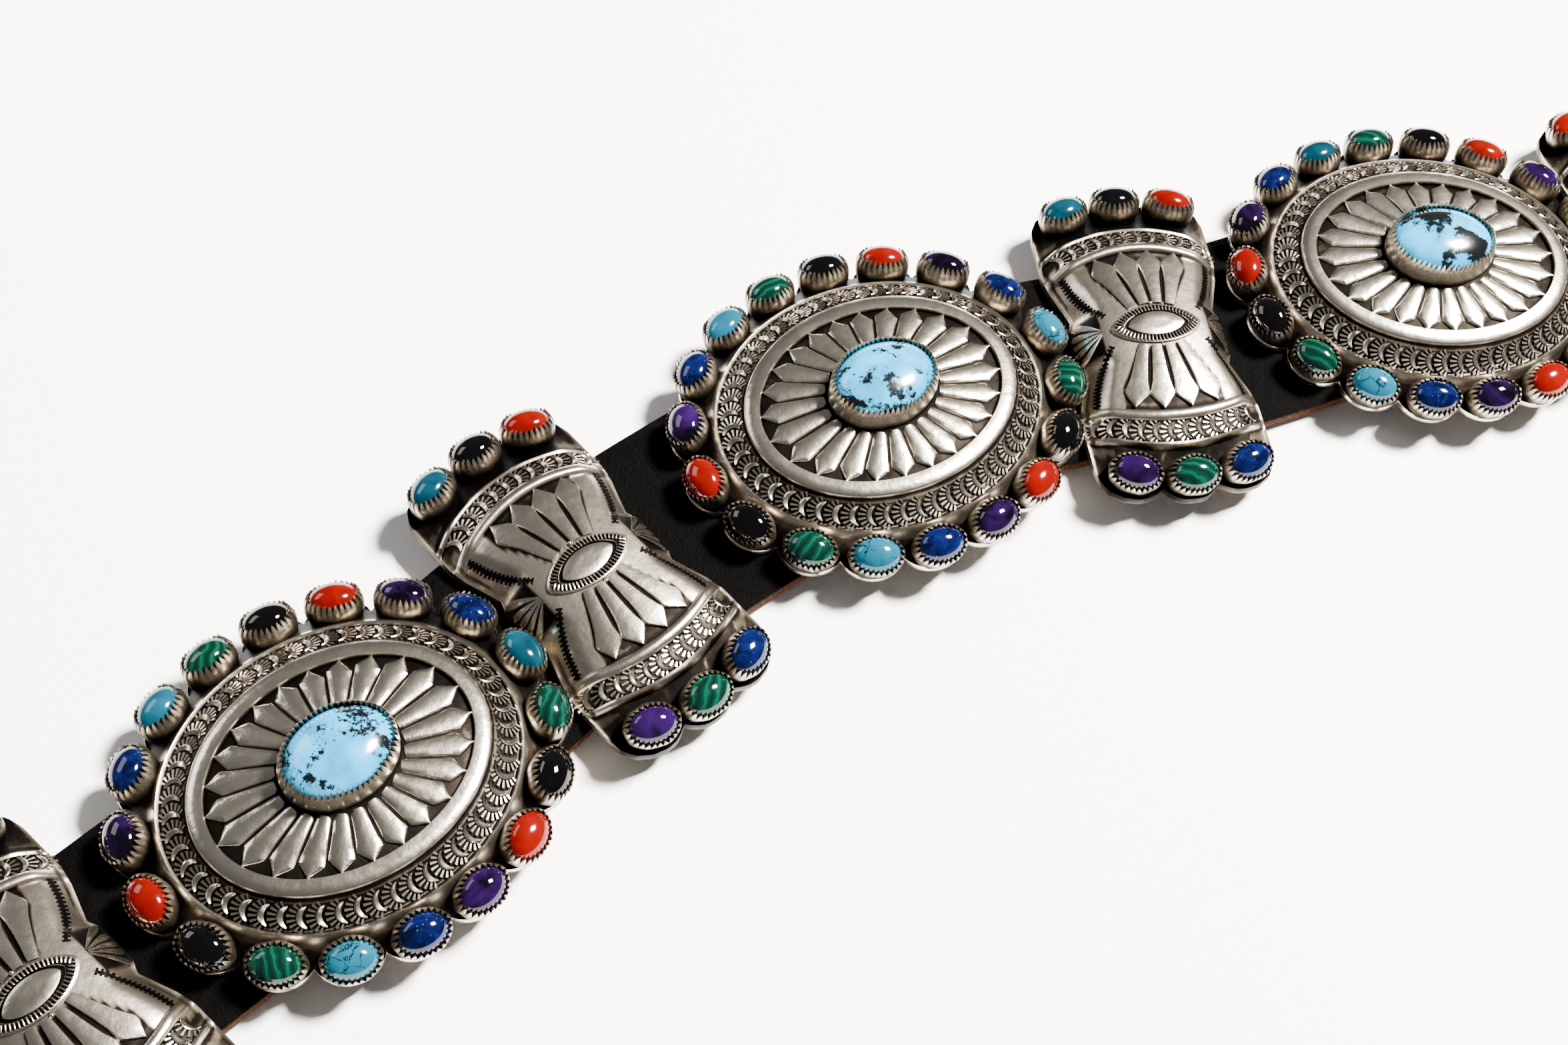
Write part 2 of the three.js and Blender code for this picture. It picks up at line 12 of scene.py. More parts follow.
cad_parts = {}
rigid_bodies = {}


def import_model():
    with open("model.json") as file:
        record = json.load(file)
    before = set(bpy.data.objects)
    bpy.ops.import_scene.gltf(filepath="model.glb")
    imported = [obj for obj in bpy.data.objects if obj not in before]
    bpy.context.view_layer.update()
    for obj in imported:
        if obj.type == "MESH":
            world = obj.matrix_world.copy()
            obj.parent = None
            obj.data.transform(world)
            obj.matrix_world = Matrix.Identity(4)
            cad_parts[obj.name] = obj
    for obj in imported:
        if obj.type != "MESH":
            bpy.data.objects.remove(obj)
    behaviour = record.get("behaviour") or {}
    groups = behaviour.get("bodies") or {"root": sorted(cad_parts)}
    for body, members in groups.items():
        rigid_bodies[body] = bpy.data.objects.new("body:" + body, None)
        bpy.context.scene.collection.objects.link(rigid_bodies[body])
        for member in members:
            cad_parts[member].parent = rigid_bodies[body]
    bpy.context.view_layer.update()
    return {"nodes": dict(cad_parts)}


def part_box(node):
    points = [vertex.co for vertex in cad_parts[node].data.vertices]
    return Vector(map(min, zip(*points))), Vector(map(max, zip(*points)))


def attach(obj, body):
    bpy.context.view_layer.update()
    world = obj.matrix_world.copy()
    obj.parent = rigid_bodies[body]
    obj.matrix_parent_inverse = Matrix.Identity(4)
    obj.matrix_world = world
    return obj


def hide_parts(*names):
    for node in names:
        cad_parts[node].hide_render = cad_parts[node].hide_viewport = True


mm = 0.001

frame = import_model()
print("frame loaded with", len(frame["nodes"]), "nodes")


# Tools for nodes, colours and meshes

def toLinear(hexColour):
    channels = [int(hexColour[i:i + 2], 16) / 255 for i in (1, 3, 5)]
    linear = [c / 12.92 if c <= 0.04045 else ((c + 0.055) / 1.055) ** 2.4 for c in channels]
    return (*linear, 1.0)


# Settings are a node's own properties, values of its inputs or the stops of a colour ramp;
# a link comes from a socket or from the first output of a node, and a target is a socket
def addNode(tree, kind, settings=None, links=None, targets=None):
    node = tree.nodes.new(kind)
    values = {}
    for key, value in (settings or {}).items():
        if key == "stops":
            ramp = node.color_ramp
            while len(ramp.elements) < len(value):
                ramp.elements.new(0.5)
            for element, (position, colour) in zip(ramp.elements, value):
                element.position = position
                element.color = toLinear(colour)
        elif isinstance(key, str) and hasattr(node, key):
            setattr(node, key, value)
        else:
            values[key] = value
    for key, value in values.items():
        node.inputs[key].default_value = value
    for key, source in (links or {}).items():
        tree.links.new(getattr(source, "outputs", [source])[0], node.inputs[key])
    for key, target in (targets or {}).items():
        tree.links.new(node.outputs[key], target)
    return node


def startMaterial(name, settings):
    material = bpy.data.materials.new(name)
    material.use_nodes = True
    material.node_tree.nodes.clear()
    add = partial(addNode, material.node_tree)
    shader = add("ShaderNodeBsdfPrincipled", settings)
    add("ShaderNodeOutputMaterial", {}, {"Surface": shader})
    place = add("ShaderNodeTexCoord").outputs["Object"]
    return material, add, shader.inputs, place


def makeMesh(name, points, faces, recess=None, sharpAngle=40):
    mesh = bpy.data.meshes.new(name)
    mesh.from_pydata(np.asarray(points, float).tolist(), [], faces)
    # On silver the recess value darkens a point: real black oxide in the hollows together with
    # painted shade in pockets, gaps and down walls; on leather it marks the brown cut edge
    layer = mesh.attributes.new("recess", "FLOAT", "POINT")
    values = np.zeros(len(mesh.vertices)) if recess is None else np.asarray(recess, float)
    layer.data.foreach_set("value", values)
    mesh.polygons.foreach_set("use_smooth", [True] * len(mesh.polygons))
    mesh.set_sharp_from_angle(angle=math.radians(sharpAngle))
    mesh.update()
    return mesh


def makeObject(name, mesh):
    thing = bpy.data.objects.new(name, mesh)
    bpy.context.scene.collection.objects.link(thing)
    return thing


# Faces between rings of points; each ring is joined to the next one outward
def ringFaces(rows, columns):
    index = np.arange(rows * columns).reshape(rows, columns)
    ahead = np.roll(index, -1, axis=1)
    quads = np.stack([index[:-1], index[1:], ahead[1:], ahead[:-1]], axis=-1)
    return quads.reshape(-1, 4).tolist()


# Closed body of rings with a centre point at each end
def ringBody(name, rings, recess, topPoint, bottomPoint, sharpAngle=40):
    rings = np.asarray(rings, float)
    rows, columns = rings.shape[:2]
    points = [*rings.reshape(-1, 3), topPoint, bottomPoint]
    faces = ringFaces(rows, columns)
    top, bottom = rows * columns, rows * columns + 1
    last = (rows - 1) * columns
    for i in range(columns):
        j = (i + 1) % columns
        faces.append((top, i, j))
        faces.append((bottom, last + j, last + i))
    shade = np.repeat(recess, columns) if len(recess) == rows else np.asarray(recess)
    return makeMesh(name, points, faces, [*shade, shade[0], shade[-1]], sharpAngle)


# Length of plate made of sections of points that run round it
def makeLoft(name, sections, recess):
    sections = np.asarray(sections, float)
    ends = sections[0].mean(axis=0), sections[-1].mean(axis=0)
    return ringBody(name, sections, recess, *ends, 35)


# Raised strip: a profile of place across, height and shade, taken along stations of middle,
# way across, half width and height
def sweep(name, stations, profile):
    sections = []
    for middle, aside, half, height in stations:
        middle, aside = np.array(middle), np.array(aside)
        sections.append([(*(middle + aside * half * y), height * z) for y, z, _ in profile])
    return makeLoft(name, sections, [shade for _, _, shade in profile] * len(sections))


def bothSides(profile):
    return profile + [(-y, z, shade) for y, z, shade in profile[-2::-1]]


# Angles of points at equal distances round an ellipse
def evenAngles(a, b, fractions):
    steps = np.linspace(0, 2 * np.pi, 2881)
    middle = (steps[1:] + steps[:-1]) / 2
    lengths = np.cumsum(np.hypot(a * np.sin(middle), b * np.cos(middle)))
    lengths = np.concatenate([[0], lengths])
    return np.interp(np.mod(fractions, 1.0), lengths / lengths[-1], steps)


def oval(a, b, z, fractions):
    angles = evenAngles(a, b, fractions)
    return np.stack([a * np.cos(angles), b * np.sin(angles), np.full(len(angles), z)], axis=1)


def makePath(name, points, cyclic=False):
    curve = bpy.data.curves.new(name, "CURVE")
    curve.dimensions = "3D"
    spline = curve.splines.new("POLY")
    spline.points.add(len(points) - 1)
    for target, point in zip(spline.points, points):
        target.co = (*point, 1.0)
    spline.use_cyclic_u = cyclic
    return makeObject(name, curve)


def joinMeshes(name, meshes):
    things = [makeObject(f"{name}_{i}", mesh) for i, mesh in enumerate(meshes)]
    with bpy.context.temp_override(
        active_object=things[0], object=things[0], selected_editable_objects=things
    ):
        bpy.ops.object.join()
    mesh = things[0].data
    bpy.data.objects.remove(things[0])
    mesh.name = name
    return mesh


def withMaterial(mesh, material):
    mesh.materials.clear()
    mesh.materials.append(material)
    return mesh


def finishPiece(name, mesh, place, slot, *nodes):
    mesh.transform(place)
    thing = makeObject(name, mesh)
    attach(thing, "root")
    if nodes:
        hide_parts(*nodes)


# Node trees that repeat a piece

def startTree(name, inputs):
    tree = bpy.data.node_groups.new(name, "GeometryNodeTree")
    tree.interface.new_socket("Geometry", in_out="OUTPUT", socket_type="NodeSocketGeometry")
    for kind, labels in inputs.items():
        for label in labels:
            tree.interface.new_socket(label, in_out="INPUT", socket_type="NodeSocket" + kind)
    add = partial(addNode, tree)
    return tree, add, add("NodeGroupInput").outputs


def endTree(add, instances, material):
    realized = add("GeometryNodeRealizeInstances", {}, {0: instances})
    painted = add("GeometryNodeSetMaterial", {}, {"Geometry": realized, "Material": material})
    add("NodeGroupOutput", {}, {0: painted})


# Turns a piece's X to a direction, keeping its Z as upright as it can be
def turnedTo(add, direction):
    links = {"Vector": direction}
    for pivot in ("Z", "Y"):
        turned = add("FunctionNodeAlignRotationToVector", {"axis": "X", "pivot_axis": pivot}, links)
        links = {"Rotation": turned, "Vector": direction}
    return turned


# Copies of a piece along a path, all or each so many of them, leaning about the path
def makeAlongTree():
    inputs = {
        "Object": ["Piece", "Path"],
        "Int": ["Count", "Every", "Offset", "Seed"],
        "Float": ["Lean", "Wobble"],
        "Vector": ["Size"],
        "Material": ["Material"],
    }
    tree, add, given = startTree("repeatAlongPath", inputs)
    path, piece = [
        add("GeometryNodeObjectInfo", {}, {"Object": given[label]}).outputs["Geometry"]
        for label in ("Path", "Piece")
    ]
    places = add("GeometryNodeResampleCurve", {}, {"Curve": path, "Count": given["Count"]})
    index = add("GeometryNodeInputIndex")
    shifted = add("ShaderNodeMath", {"operation": "SUBTRACT"}, {0: index, 1: given["Offset"]})
    cycle = add("ShaderNodeMath", {"operation": "FLOORED_MODULO"}, {0: shifted, 1: given["Every"]})
    chosen = add("ShaderNodeMath", {"operation": "LESS_THAN", 1: 0.5}, {0: cycle})
    turned = turnedTo(add, add("GeometryNodeInputTangent").outputs[0])
    seed = {"Seed": given["Seed"]}
    wobble, tint = [
        add("FunctionNodeRandomValue", {"data_type": "FLOAT", 2: low, 3: 1.0}, seed).outputs[1]
        for low in (-1.0, 0.0)
    ]
    links = {0: wobble, 1: given["Wobble"], 2: given["Lean"]}
    leaning = add("ShaderNodeMath", {"operation": "MULTIPLY_ADD"}, links)
    angles = add("ShaderNodeCombineXYZ", {}, {"X": leaning})
    local = add("FunctionNodeEulerToRotation", {}, {0: angles})
    rotation = add("FunctionNodeRotateRotation", {"rotation_space": "LOCAL"}, {0: turned, 1: local})
    links = {"Points": places, "Selection": chosen, "Instance": piece, "Rotation": rotation}
    links["Scale"] = given["Size"]
    copies = add("GeometryNodeInstanceOnPoints", {}, links)
    named = {"data_type": "FLOAT", "domain": "INSTANCE", "Name": "tint"}
    marked = add("GeometryNodeStoreNamedAttribute", named, {"Geometry": copies, "Value": tint})
    endTree(add, marked, given["Material"])
    return tree


# Copies of a piece of unit length, each stretched from an inner path to an outer one
def makeSpokeTree():
    inputs = {
        "Object": ["Piece", "Inner", "Outer"],
        "Int": ["Count"],
        "Float": ["Width"],
        "Material": ["Material"],
    }
    tree, add, given = startTree("repeatBetweenPaths", inputs)
    piece, inner, outer = [
        add("GeometryNodeObjectInfo", {}, {"Object": given[label]}).outputs["Geometry"]
        for label in ("Piece", "Inner", "Outer")
    ]
    feet, tips = [
        add("GeometryNodeResampleCurve", {}, {"Curve": path, "Count": given["Count"]})
        for path in (inner, outer)
    ]
    index = add("GeometryNodeInputIndex")
    here = add("GeometryNodeInputPosition")
    tip = add(
        "GeometryNodeSampleIndex",
        {"data_type": "FLOAT_VECTOR", "domain": "POINT"},
        {"Geometry": tips, "Value": here, "Index": index},
    )
    reach = add("ShaderNodeVectorMath", {"operation": "SUBTRACT"}, {0: tip, 1: here})
    length = add("ShaderNodeVectorMath", {"operation": "LENGTH"}, {0: reach}).outputs["Value"]
    size = add("ShaderNodeCombineXYZ", {"Z": 1.0}, {"X": length, "Y": given["Width"]})
    turned = turnedTo(add, reach)
    copies = add(
        "GeometryNodeInstanceOnPoints",
        {},
        {"Points": feet, "Instance": piece, "Rotation": turned, "Scale": size},
    )
    endTree(add, copies, given["Material"])
    return tree


def runTree(tree, values):
    carrier = makeObject("carrier", bpy.data.meshes.new("carrier"))
    modifier = carrier.modifiers.new("build", "NODES")
    modifier.node_group = tree
    identifiers = {
        item.name: item.identifier
        for item in tree.interface.items_tree
        if item.item_type == "SOCKET" and item.in_out == "INPUT"
    }
    for label, value in values.items():
        modifier[identifiers[label]] = value
    graph = bpy.context.evaluated_depsgraph_get()
    mesh = bpy.data.meshes.new_from_object(carrier.evaluated_get(graph))
    bpy.data.objects.remove(carrier)
    return withMaterial(mesh, values["Material"])


alongTree = makeAlongTree()
spokeTree = makeSpokeTree()


def repeatAlong(
    piece, path, count, material, lean=0.0, every=1, offset=0, size=1.0, wobble=0.0, seed=3
):
    values = {
        "Piece": piece,
        "Path": path,
        "Count": count,
        "Lean": math.radians(lean),
        "Size": (size, size, size),
        "Every": every,
        "Offset": offset,
        "Wobble": math.radians(wobble),
        "Seed": seed,
        "Material": material,
    }
    return runTree(alongTree, values)


print("node trees ready")


# Places of the silver pieces, from the frame's own boxes

piecePlace = {
    "rimAboveLoop": 4.6,
    "headings": {
        "butterfly": [34, 54.6, 49.7, 17, 28, 13, 4],
        "concho": [46, 47.2, 37.2, 12, 21, 9],
    },
}


def centreOf(node):
    low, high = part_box(node)
    return (low + high) / 2, low


def placeOf(kind, number):
    centre, low = centreOf(f"{kind}_{number}")
    lift = low.z + piecePlace["rimAboveLoop"] * mm
    turn = Matrix.Rotation(math.radians(piecePlace["headings"][kind][number - 1]), 4, "Z")
    return Matrix.Translation((centre.x, centre.y, lift)) @ turn @ Matrix.Scale(mm, 4)


# Camera, light and floor

cameraSettings = {
    "besideThirdConcho": (-13.56, -240.1, 359.4),
    "elevation": 58.722,
    "roll": 8.626,
    "lens": 55.007,
}


def setCamera(settings):
    centre, low = centreOf("concho_3")
    dx, dy, dz = settings["besideThirdConcho"]
    data = bpy.data.cameras.new("studioCamera")
    data.lens = settings["lens"]
    data.sensor_width = 36
    camera = bpy.data.objects.new("studioCamera", data)
    bpy.context.scene.collection.objects.link(camera)
    pitch = math.radians(settings["elevation"])
    forward = Vector((0, math.cos(pitch), -math.sin(pitch)))
    right = Vector((1, 0, 0))
    up = right.cross(forward)
    roll = math.radians(settings["roll"])
    turnedRight = right * math.cos(roll) + up * math.sin(roll)
    turnedUp = up * math.cos(roll) - right * math.sin(roll)
    axes = Matrix((turnedRight, turnedUp, -forward)).transposed().to_4x4()
    spot = Vector((centre.x + dx * mm, centre.y + dy * mm, low.z + dz * mm))
    camera.matrix_world = Matrix.Translation(spot) @ axes
    bpy.context.scene.camera = camera


studioSettings = {
    "floorColour": "#ffffff",
    "worldColour": "#e8ebf0",
    "worldStrength": 0.17,
    "lamps": [
        # name, place beside the belt's middle, size, watts, colour
        ("keyBox", (0.7, 0.55, 1.31), (0.32, 0.32), 290.0, "#fffaf2"),
        ("leftBox", (-1.2, 0.5, 0.8), (0.8, 0.5), 6.0, "#ffffff"),
    ],
}


def setStudio(settings):
    floor = makeMesh("floor", [(-6, -6, 0), (6, -6, 0), (6, 6, 0), (-6, 6, 0)], [(0, 1, 2, 3)])
    finish = {"Base Color": toLinear(settings["floorColour"]), "Roughness": 0.9}
    material = startMaterial("matte studio paper", finish)[0]
    floorObject = makeObject("floor", withMaterial(floor, material))
    for name, place, size, watts, colour in settings["lamps"]:
        data = bpy.data.lights.new(name, "AREA")
        data.shape = "RECTANGLE"
        data.size, data.size_y = size
        data.energy = watts
        data.color = toLinear(colour)[:3]
        lamp = bpy.data.objects.new(name, data)
        bpy.context.scene.collection.objects.link(lamp)
        lamp.location = place
        lamp.rotation_euler = (-Vector(place)).to_track_quat("-Z", "Y").to_euler()
    world = bpy.data.worlds.new("studio")
    world.use_nodes = True
    background = world.node_tree.nodes["Background"]
    background.inputs["Color"].default_value = toLinear(settings["worldColour"])
    background.inputs["Strength"].default_value = settings["worldStrength"]
    bpy.context.scene.world = world


setCamera(cameraSettings)
setStudio(studioSettings)
print("camera, light and floor set")


# Materials

silverSettings = {
    "bright": "#d2cab9",
    "worn": "#a0978a",
    "grey": "#5c5346",
    "dark": "#14110e",
    "black": "#080706",
    "brightRoughness": 0.2,
    "darkRoughness": 0.55,
    "patchSize": 7.0,  # cloudy tarnish
    "dentSize": 1.6,  # hammer and file marks
    "scratchSize": 0.22,
    "markDepth": 0.07,
    "patchShare": 0.7,
    "patchShift": -0.33,
    "dentShare": 0.26,
    "scratchShare": 0.16,
}


# Hand-stamped sterling silver: bright where it is rubbed, blackened by sulphide in every recess,
# and darkened further by painted shade in the pockets under the bezels, down the bezel walls and in
# the gaps between raised parts; the recess value of each point carries both
def makeSilver(name, settings, glareShade=0.0):
    material, add, shader, place = startMaterial(name, {"Metallic": 1.0})
    recess = add("ShaderNodeAttribute", {"attribute_name": "recess"}).outputs["Fac"]
    spot = {"Vector": place}
    patch, dent, scratch = [
        add("ShaderNodeTexNoise", {"Scale": 1 / (settings[key] * mm), "Detail": detail}, spot)
        for key, detail in (("patchSize", 5.0), ("dentSize", 3.0), ("scratchSize", 2.0))
    ]
    # The shift for the buckle darkens the whole material with painted shade
    share, shift = settings["patchShare"], settings["patchShift"] + glareShade
    cloud = add("ShaderNodeMath", {"operation": "MULTIPLY_ADD", 1: share, 2: shift}, {0: patch})
    share = settings["dentShare"]
    speck = add("ShaderNodeMath", {"operation": "MULTIPLY_ADD", 1: share, 2: -share / 2}, {0: dent})
    marks = add("ShaderNodeMath", {"operation": "ADD"}, {0: cloud, 1: speck})
    shade = add("ShaderNodeMath", {"operation": "ADD"}, {0: marks, 1: recess})
    tones = [(0.0, "bright"), (0.28, "worn"), (0.52, "grey"), (0.8, "dark"), (1.0, "black")]
    stops = [(position, settings[tone]) for position, tone in tones]
    add("ShaderNodeValToRGB", {"stops": stops}, {"Fac": shade}, {0: shader["Base Color"]})
    shine = {3: settings["brightRoughness"], 4: settings["darkRoughness"]}
    add("ShaderNodeMapRange", shine, {"Value": shade}, {0: shader["Roughness"]})
    share = settings["scratchShare"]
    height = add("ShaderNodeMath", {"operation": "MULTIPLY_ADD", 1: share}, {0: scratch, 2: dent})
    depth = settings["markDepth"] * mm
    add("ShaderNodeBump", {"Distance": depth}, {"Height": height}, {0: shader["Normal"]})
    return material


# The finish says how light meets a stone, and the reach how its clouds share its two tones
stoneSettings = {
    "turquoise": {
        "finish": {"Roughness": 0.1, "IOR": 1.6, "Specular IOR Level": 0.35},
        "deep": "#02171e",
        "light": "#0a475b",
        "web": "#04161b",
        "cloudSize": 4.5,
        "webSize": 3.2,
        "webShare": 0.02,
        "webbedOver": 0.7,  # tint over which a stone has a web
    },
    # deep blue with lighter denim clouds and a few gold flecks of pyrite
    "lapis": {
        "finish": {"Roughness": 0.07, "IOR": 1.6, "Specular IOR Level": 0.3},
        "deep": "#010318",
        "light": "#06103f",
        "fleck": "#5f5b48",
        "cloudSize": 2.2,
        "reach": (0.4, 0.7),
        "fleckSize": 0.35,
    },
    # violet that looks nearly black where no light comes through
    "amethyst": {
        "finish": {"Roughness": 0.04, "IOR": 1.54, "Specular IOR Level": 0.35},
        "deep": "#020104",
        "light": "#1c0634",
        "cloudSize": 5.5,
        "reach": (0.4, 0.7),
    },
    # even and waxy red, with faint lighter clouds
    "coral": {
        "finish": {"Roughness": 0.09, "IOR": 1.55, "Specular IOR Level": 0.35},
        "deep": "#420100",
        "light": "#5c0300",
        "cloudSize": 5.0,
        "reach": (0.3, 0.7),
    },
    # deep even black with a mirror polish
    "onyx": {
        "finish": {"Roughness": 0.035, "IOR": 1.54, "Specular IOR Level": 0.4},
        "deep": "#010101",
        "light": "#030304",
        "cloudSize": 4.0,
        "reach": (0.4, 0.8),
    },
    "malachite": {
        "finish": {"Roughness": 0.07, "IOR": 1.65, "Specular IOR Level": 0.3},
        "deep": "#01150f",
        "middle": "#022219",
        "light": "#033326",
        "bandSize": 1.7,
    },
}
matrixSettings = {
    "finish": {"Roughness": 0.14, "IOR": 1.6},
    "deep": "#006f96",
    "light": "#008fc4",
    "web": "#060809",
    "host": "#31505e",
    "cloudSize": 5.0,
    "patchSize": 6.5,
    "speckSize": 0.9,
}


# Share of each point that lies on dark veins, from the distance to the edge of uneven cells
def veins(add, place, size, share):
    spot = {"Vector": place}
    bent, width = [
        add("ShaderNodeTexNoise", {"Scale": 1 / (size * part * mm), "Detail": 3.0}, spot)
        for part in (0.55, 0.8)
    ]
    bend = {"operation": "MULTIPLY_ADD", 1: (size * 0.9 * mm,) * 3}
    moved = add("ShaderNodeVectorMath", bend, {0: bent.outputs[1], 2: place})
    edges = {"feature": "DISTANCE_TO_EDGE", "Scale": 1 / (size * mm)}
    cells = add("ShaderNodeTexVoronoi", edges, {"Vector": moved})
    swell = {"operation": "MULTIPLY_ADD", 1: share * 6, 2: -0.36 * share * 6}
    limit = add("ShaderNodeMath", swell, {0: width})
    near = add("ShaderNodeMath", {"operation": "SUBTRACT"}, {0: limit, 1: cells})
    return add("ShaderNodeMapRange", {1: -0.012, 2: 0.012}, {"Value": near})


# Polished turquoise with a fine brown-black web in some of the stones
def makeTurquoise(name, settings):
    material, add, shader, place = startMaterial(name, settings["finish"])
    tint = add("ShaderNodeAttribute", {"attribute_name": "tint"}).outputs["Fac"]
    scale = 1 / (settings["cloudSize"] * mm)
    cloud = add("ShaderNodeTexNoise", {"Scale": scale, "Detail": 4.0}, {"Vector": place})
    lighter = add("ShaderNodeMath", {"operation": "MULTIPLY", 1: 0.75}, {0: tint})
    shade = add("ShaderNodeMath", {"operation": "MULTIPLY_ADD", 1: 0.7}, {0: cloud, 2: lighter})
    stops = [(0.35, settings["deep"]), (1.0, settings["light"])]
    body = add("ShaderNodeValToRGB", {"stops": stops}, {"Fac": shade})
    over = settings["webbedOver"]
    some = add("ShaderNodeMath", {"operation": "GREATER_THAN", 1: over}, {0: tint})
    vein = veins(add, place, settings["webSize"], settings["webShare"])
    web = add("ShaderNodeMath", {"operation": "MULTIPLY"}, {0: vein, 1: some})
    mix = {"data_type": "RGBA", 7: toLinear(settings["web"])}
    add("ShaderNodeMix", mix, {0: web, 6: body}, {2: shader["Base Color"]})
    return material


# Sky-blue turquoise in black matrix with grey flecks of host rock
def makeCentreTurquoise(name, settings):
    material, add, shader, place = startMaterial(name, settings["finish"])
    grains = [
        ("cloudSize", {"Detail": 5.0}),
        ("patchSize", {"Detail": 2.0, "Distortion": 0.6}),
        ("speckSize", {"Detail": 6.0, "Roughness": 0.7}),
    ]
    cloud, patch, speck = [
        add("ShaderNodeTexNoise", {"Scale": 1 / (settings[key] * mm), **grain}, {"Vector": place})
        for key, grain in grains
    ]
    stops = [(0.35, settings["deep"]), (0.6, settings["light"])]
    body = add("ShaderNodeValToRGB", {"stops": stops}, {"Fac": cloud})
    fine = add("ShaderNodeMath", {"operation": "MULTIPLY", 1: 0.75}, {0: speck})
    both = add("ShaderNodeMath", {"operation": "MULTIPLY_ADD", 1: 1.3}, {0: patch, 2: fine})
    halo = add("ShaderNodeMapRange", {1: 1.05, 2: 1.13, 4: 0.6}, {"Value": both})
    dark = add("ShaderNodeMapRange", {1: 1.105, 2: 1.14}, {"Value": both})
    mix = {"data_type": "RGBA", 7: toLinear(settings["host"])}
    rocky = add("ShaderNodeMix", mix, {0: halo, 6: body}).outputs[2]
    mix = {"data_type": "RGBA", 7: toLinear(settings["web"])}
    add("ShaderNodeMix", mix, {0: dark, 6: rocky}, {2: shader["Base Color"]})
    return material


# Polished stone of two soft tones in clouds, with flecks where its settings name their colour
def makeCloudedStone(name, settings):
    material, add, shader, place = startMaterial(name, settings["finish"])
    scale = 1 / (settings["cloudSize"] * mm)
    grain = {"Scale": scale, "Detail": 5.0, "Distortion": 0.8}
    cloud = add("ShaderNodeTexNoise", grain, {"Vector": place})
    stops = list(zip(settings["reach"], (settings["deep"], settings["light"])))
    body = add("ShaderNodeValToRGB", {"stops": stops}, {"Fac": cloud}, {0: shader["Base Color"]})
    if "fleck" in settings:
        grain = {"Scale": 1 / (settings["fleckSize"] * mm), "Detail": 1.0}
        fleck = add("ShaderNodeTexNoise", grain, {"Vector": place})
        share = add("ShaderNodeMapRange", {1: 0.74, 2: 0.78}, {"Value": fleck})
        mix = {"data_type": "RGBA", 7: toLinear(settings["fleck"])}
        add("ShaderNodeMix", mix, {0: share, 6: body}, {2: shader["Base Color"]})
    return material


# Malachite: bands of darker and lighter green that wander round the stone
def makeMalachite(name, settings):
    material, add, shader, place = startMaterial(name, settings["finish"])
    wave = {
        "wave_type": "RINGS",
        "rings_direction": "SPHERICAL",
        "Scale": 0.32 / (settings["bandSize"] * mm),
        "Distortion": 5.0,
        "Detail": 3.0,
        "Detail Scale": 1.4,
    }
    bands = add("ShaderNodeTexWave", wave, {"Vector": place}).outputs[1]
    tones = [(0.1, "deep"), (0.45, "middle"), (0.62, "deep"), (0.9, "light")]
    stops = [(position, settings[tone]) for position, tone in tones]
    add("ShaderNodeValToRGB", {"stops": stops}, {"Fac": bands}, {0: shader["Base Color"]})
    return material


leatherSettings = {
    "black": "#010101",
    "dust": "#040404",
    "raw": "#4a2c19",
    "rawDark": "#1c100a",
    "grainSize": 0.55,
    "creaseSize": 7.0,
    "fibreSize": 0.4,
    "grainDepth": 0.25,
}


# Vegetable-tanned cowhide dyed black: fine pebbled grain, brown fibres where it was cut
def makeLeather(name, settings):
    finish = {"IOR": 1.5, "Specular IOR Level": 0.02}
    material, add, shader, place = startMaterial(name, finish)
    raw = add("ShaderNodeAttribute", {"attribute_name": "recess"}).outputs["Fac"]
    scale = 1 / (settings["grainSize"] * mm)
    grain = add("ShaderNodeTexVoronoi", {"Scale": scale}, {"Vector": place})
    folds = {"Scale": 1 / (settings["creaseSize"] * mm), "Detail": 6.0, "Distortion": 1.5}
    crease = add("ShaderNodeTexNoise", folds, {"Vector": place})
    scale = 1 / (settings["fibreSize"] * mm)
    fibre = add("ShaderNodeTexNoise", {"Scale": scale, "Detail": 4.0}, {"Vector": place})
    stops = [(0.5, settings["black"]), (0.8, settings["dust"])]
    top = add("ShaderNodeValToRGB", {"stops": stops}, {"Fac": crease})
    stops = [(0.35, settings["rawDark"]), (0.65, settings["raw"])]
    cut = add("ShaderNodeValToRGB", {"stops": stops}, {"Fac": fibre})
    add("ShaderNodeMix", {"data_type": "RGBA"}, {0: raw, 6: top, 7: cut}, {2: shader["Base Color"]})
    add("ShaderNodeMapRange", {3: 0.62, 4: 0.9}, {"Value": crease}, {0: shader["Roughness"]})
    height = add("ShaderNodeMath", {"operation": "MULTIPLY_ADD", 1: 0.5}, {0: grain, 2: crease})
    depth = settings["grainDepth"] * mm
    add("ShaderNodeBump", {"Distance": depth}, {"Height": height}, {0: shader["Normal"]})
    return material


silver = makeSilver("stamped sterling silver", silverSettings)
# The buckle's silver is darker all over: painted shade that holds back the key lamp's broad
# reflection on its flat top
buckleSilver = makeSilver("plain worn silver", silverSettings, 0.5)
leather = makeLeather("black harness leather", leatherSettings)
makers = {"turquoise": makeTurquoise, "malachite": makeMalachite}
stoneMaterials = {
    kind: makers.get(kind, makeCloudedStone)(f"polished {kind}", settings)
    for kind, settings in stoneSettings.items()
}
centreMaterial = makeCentreTurquoise("matrix turquoise", matrixSettings)
print("materials ready")
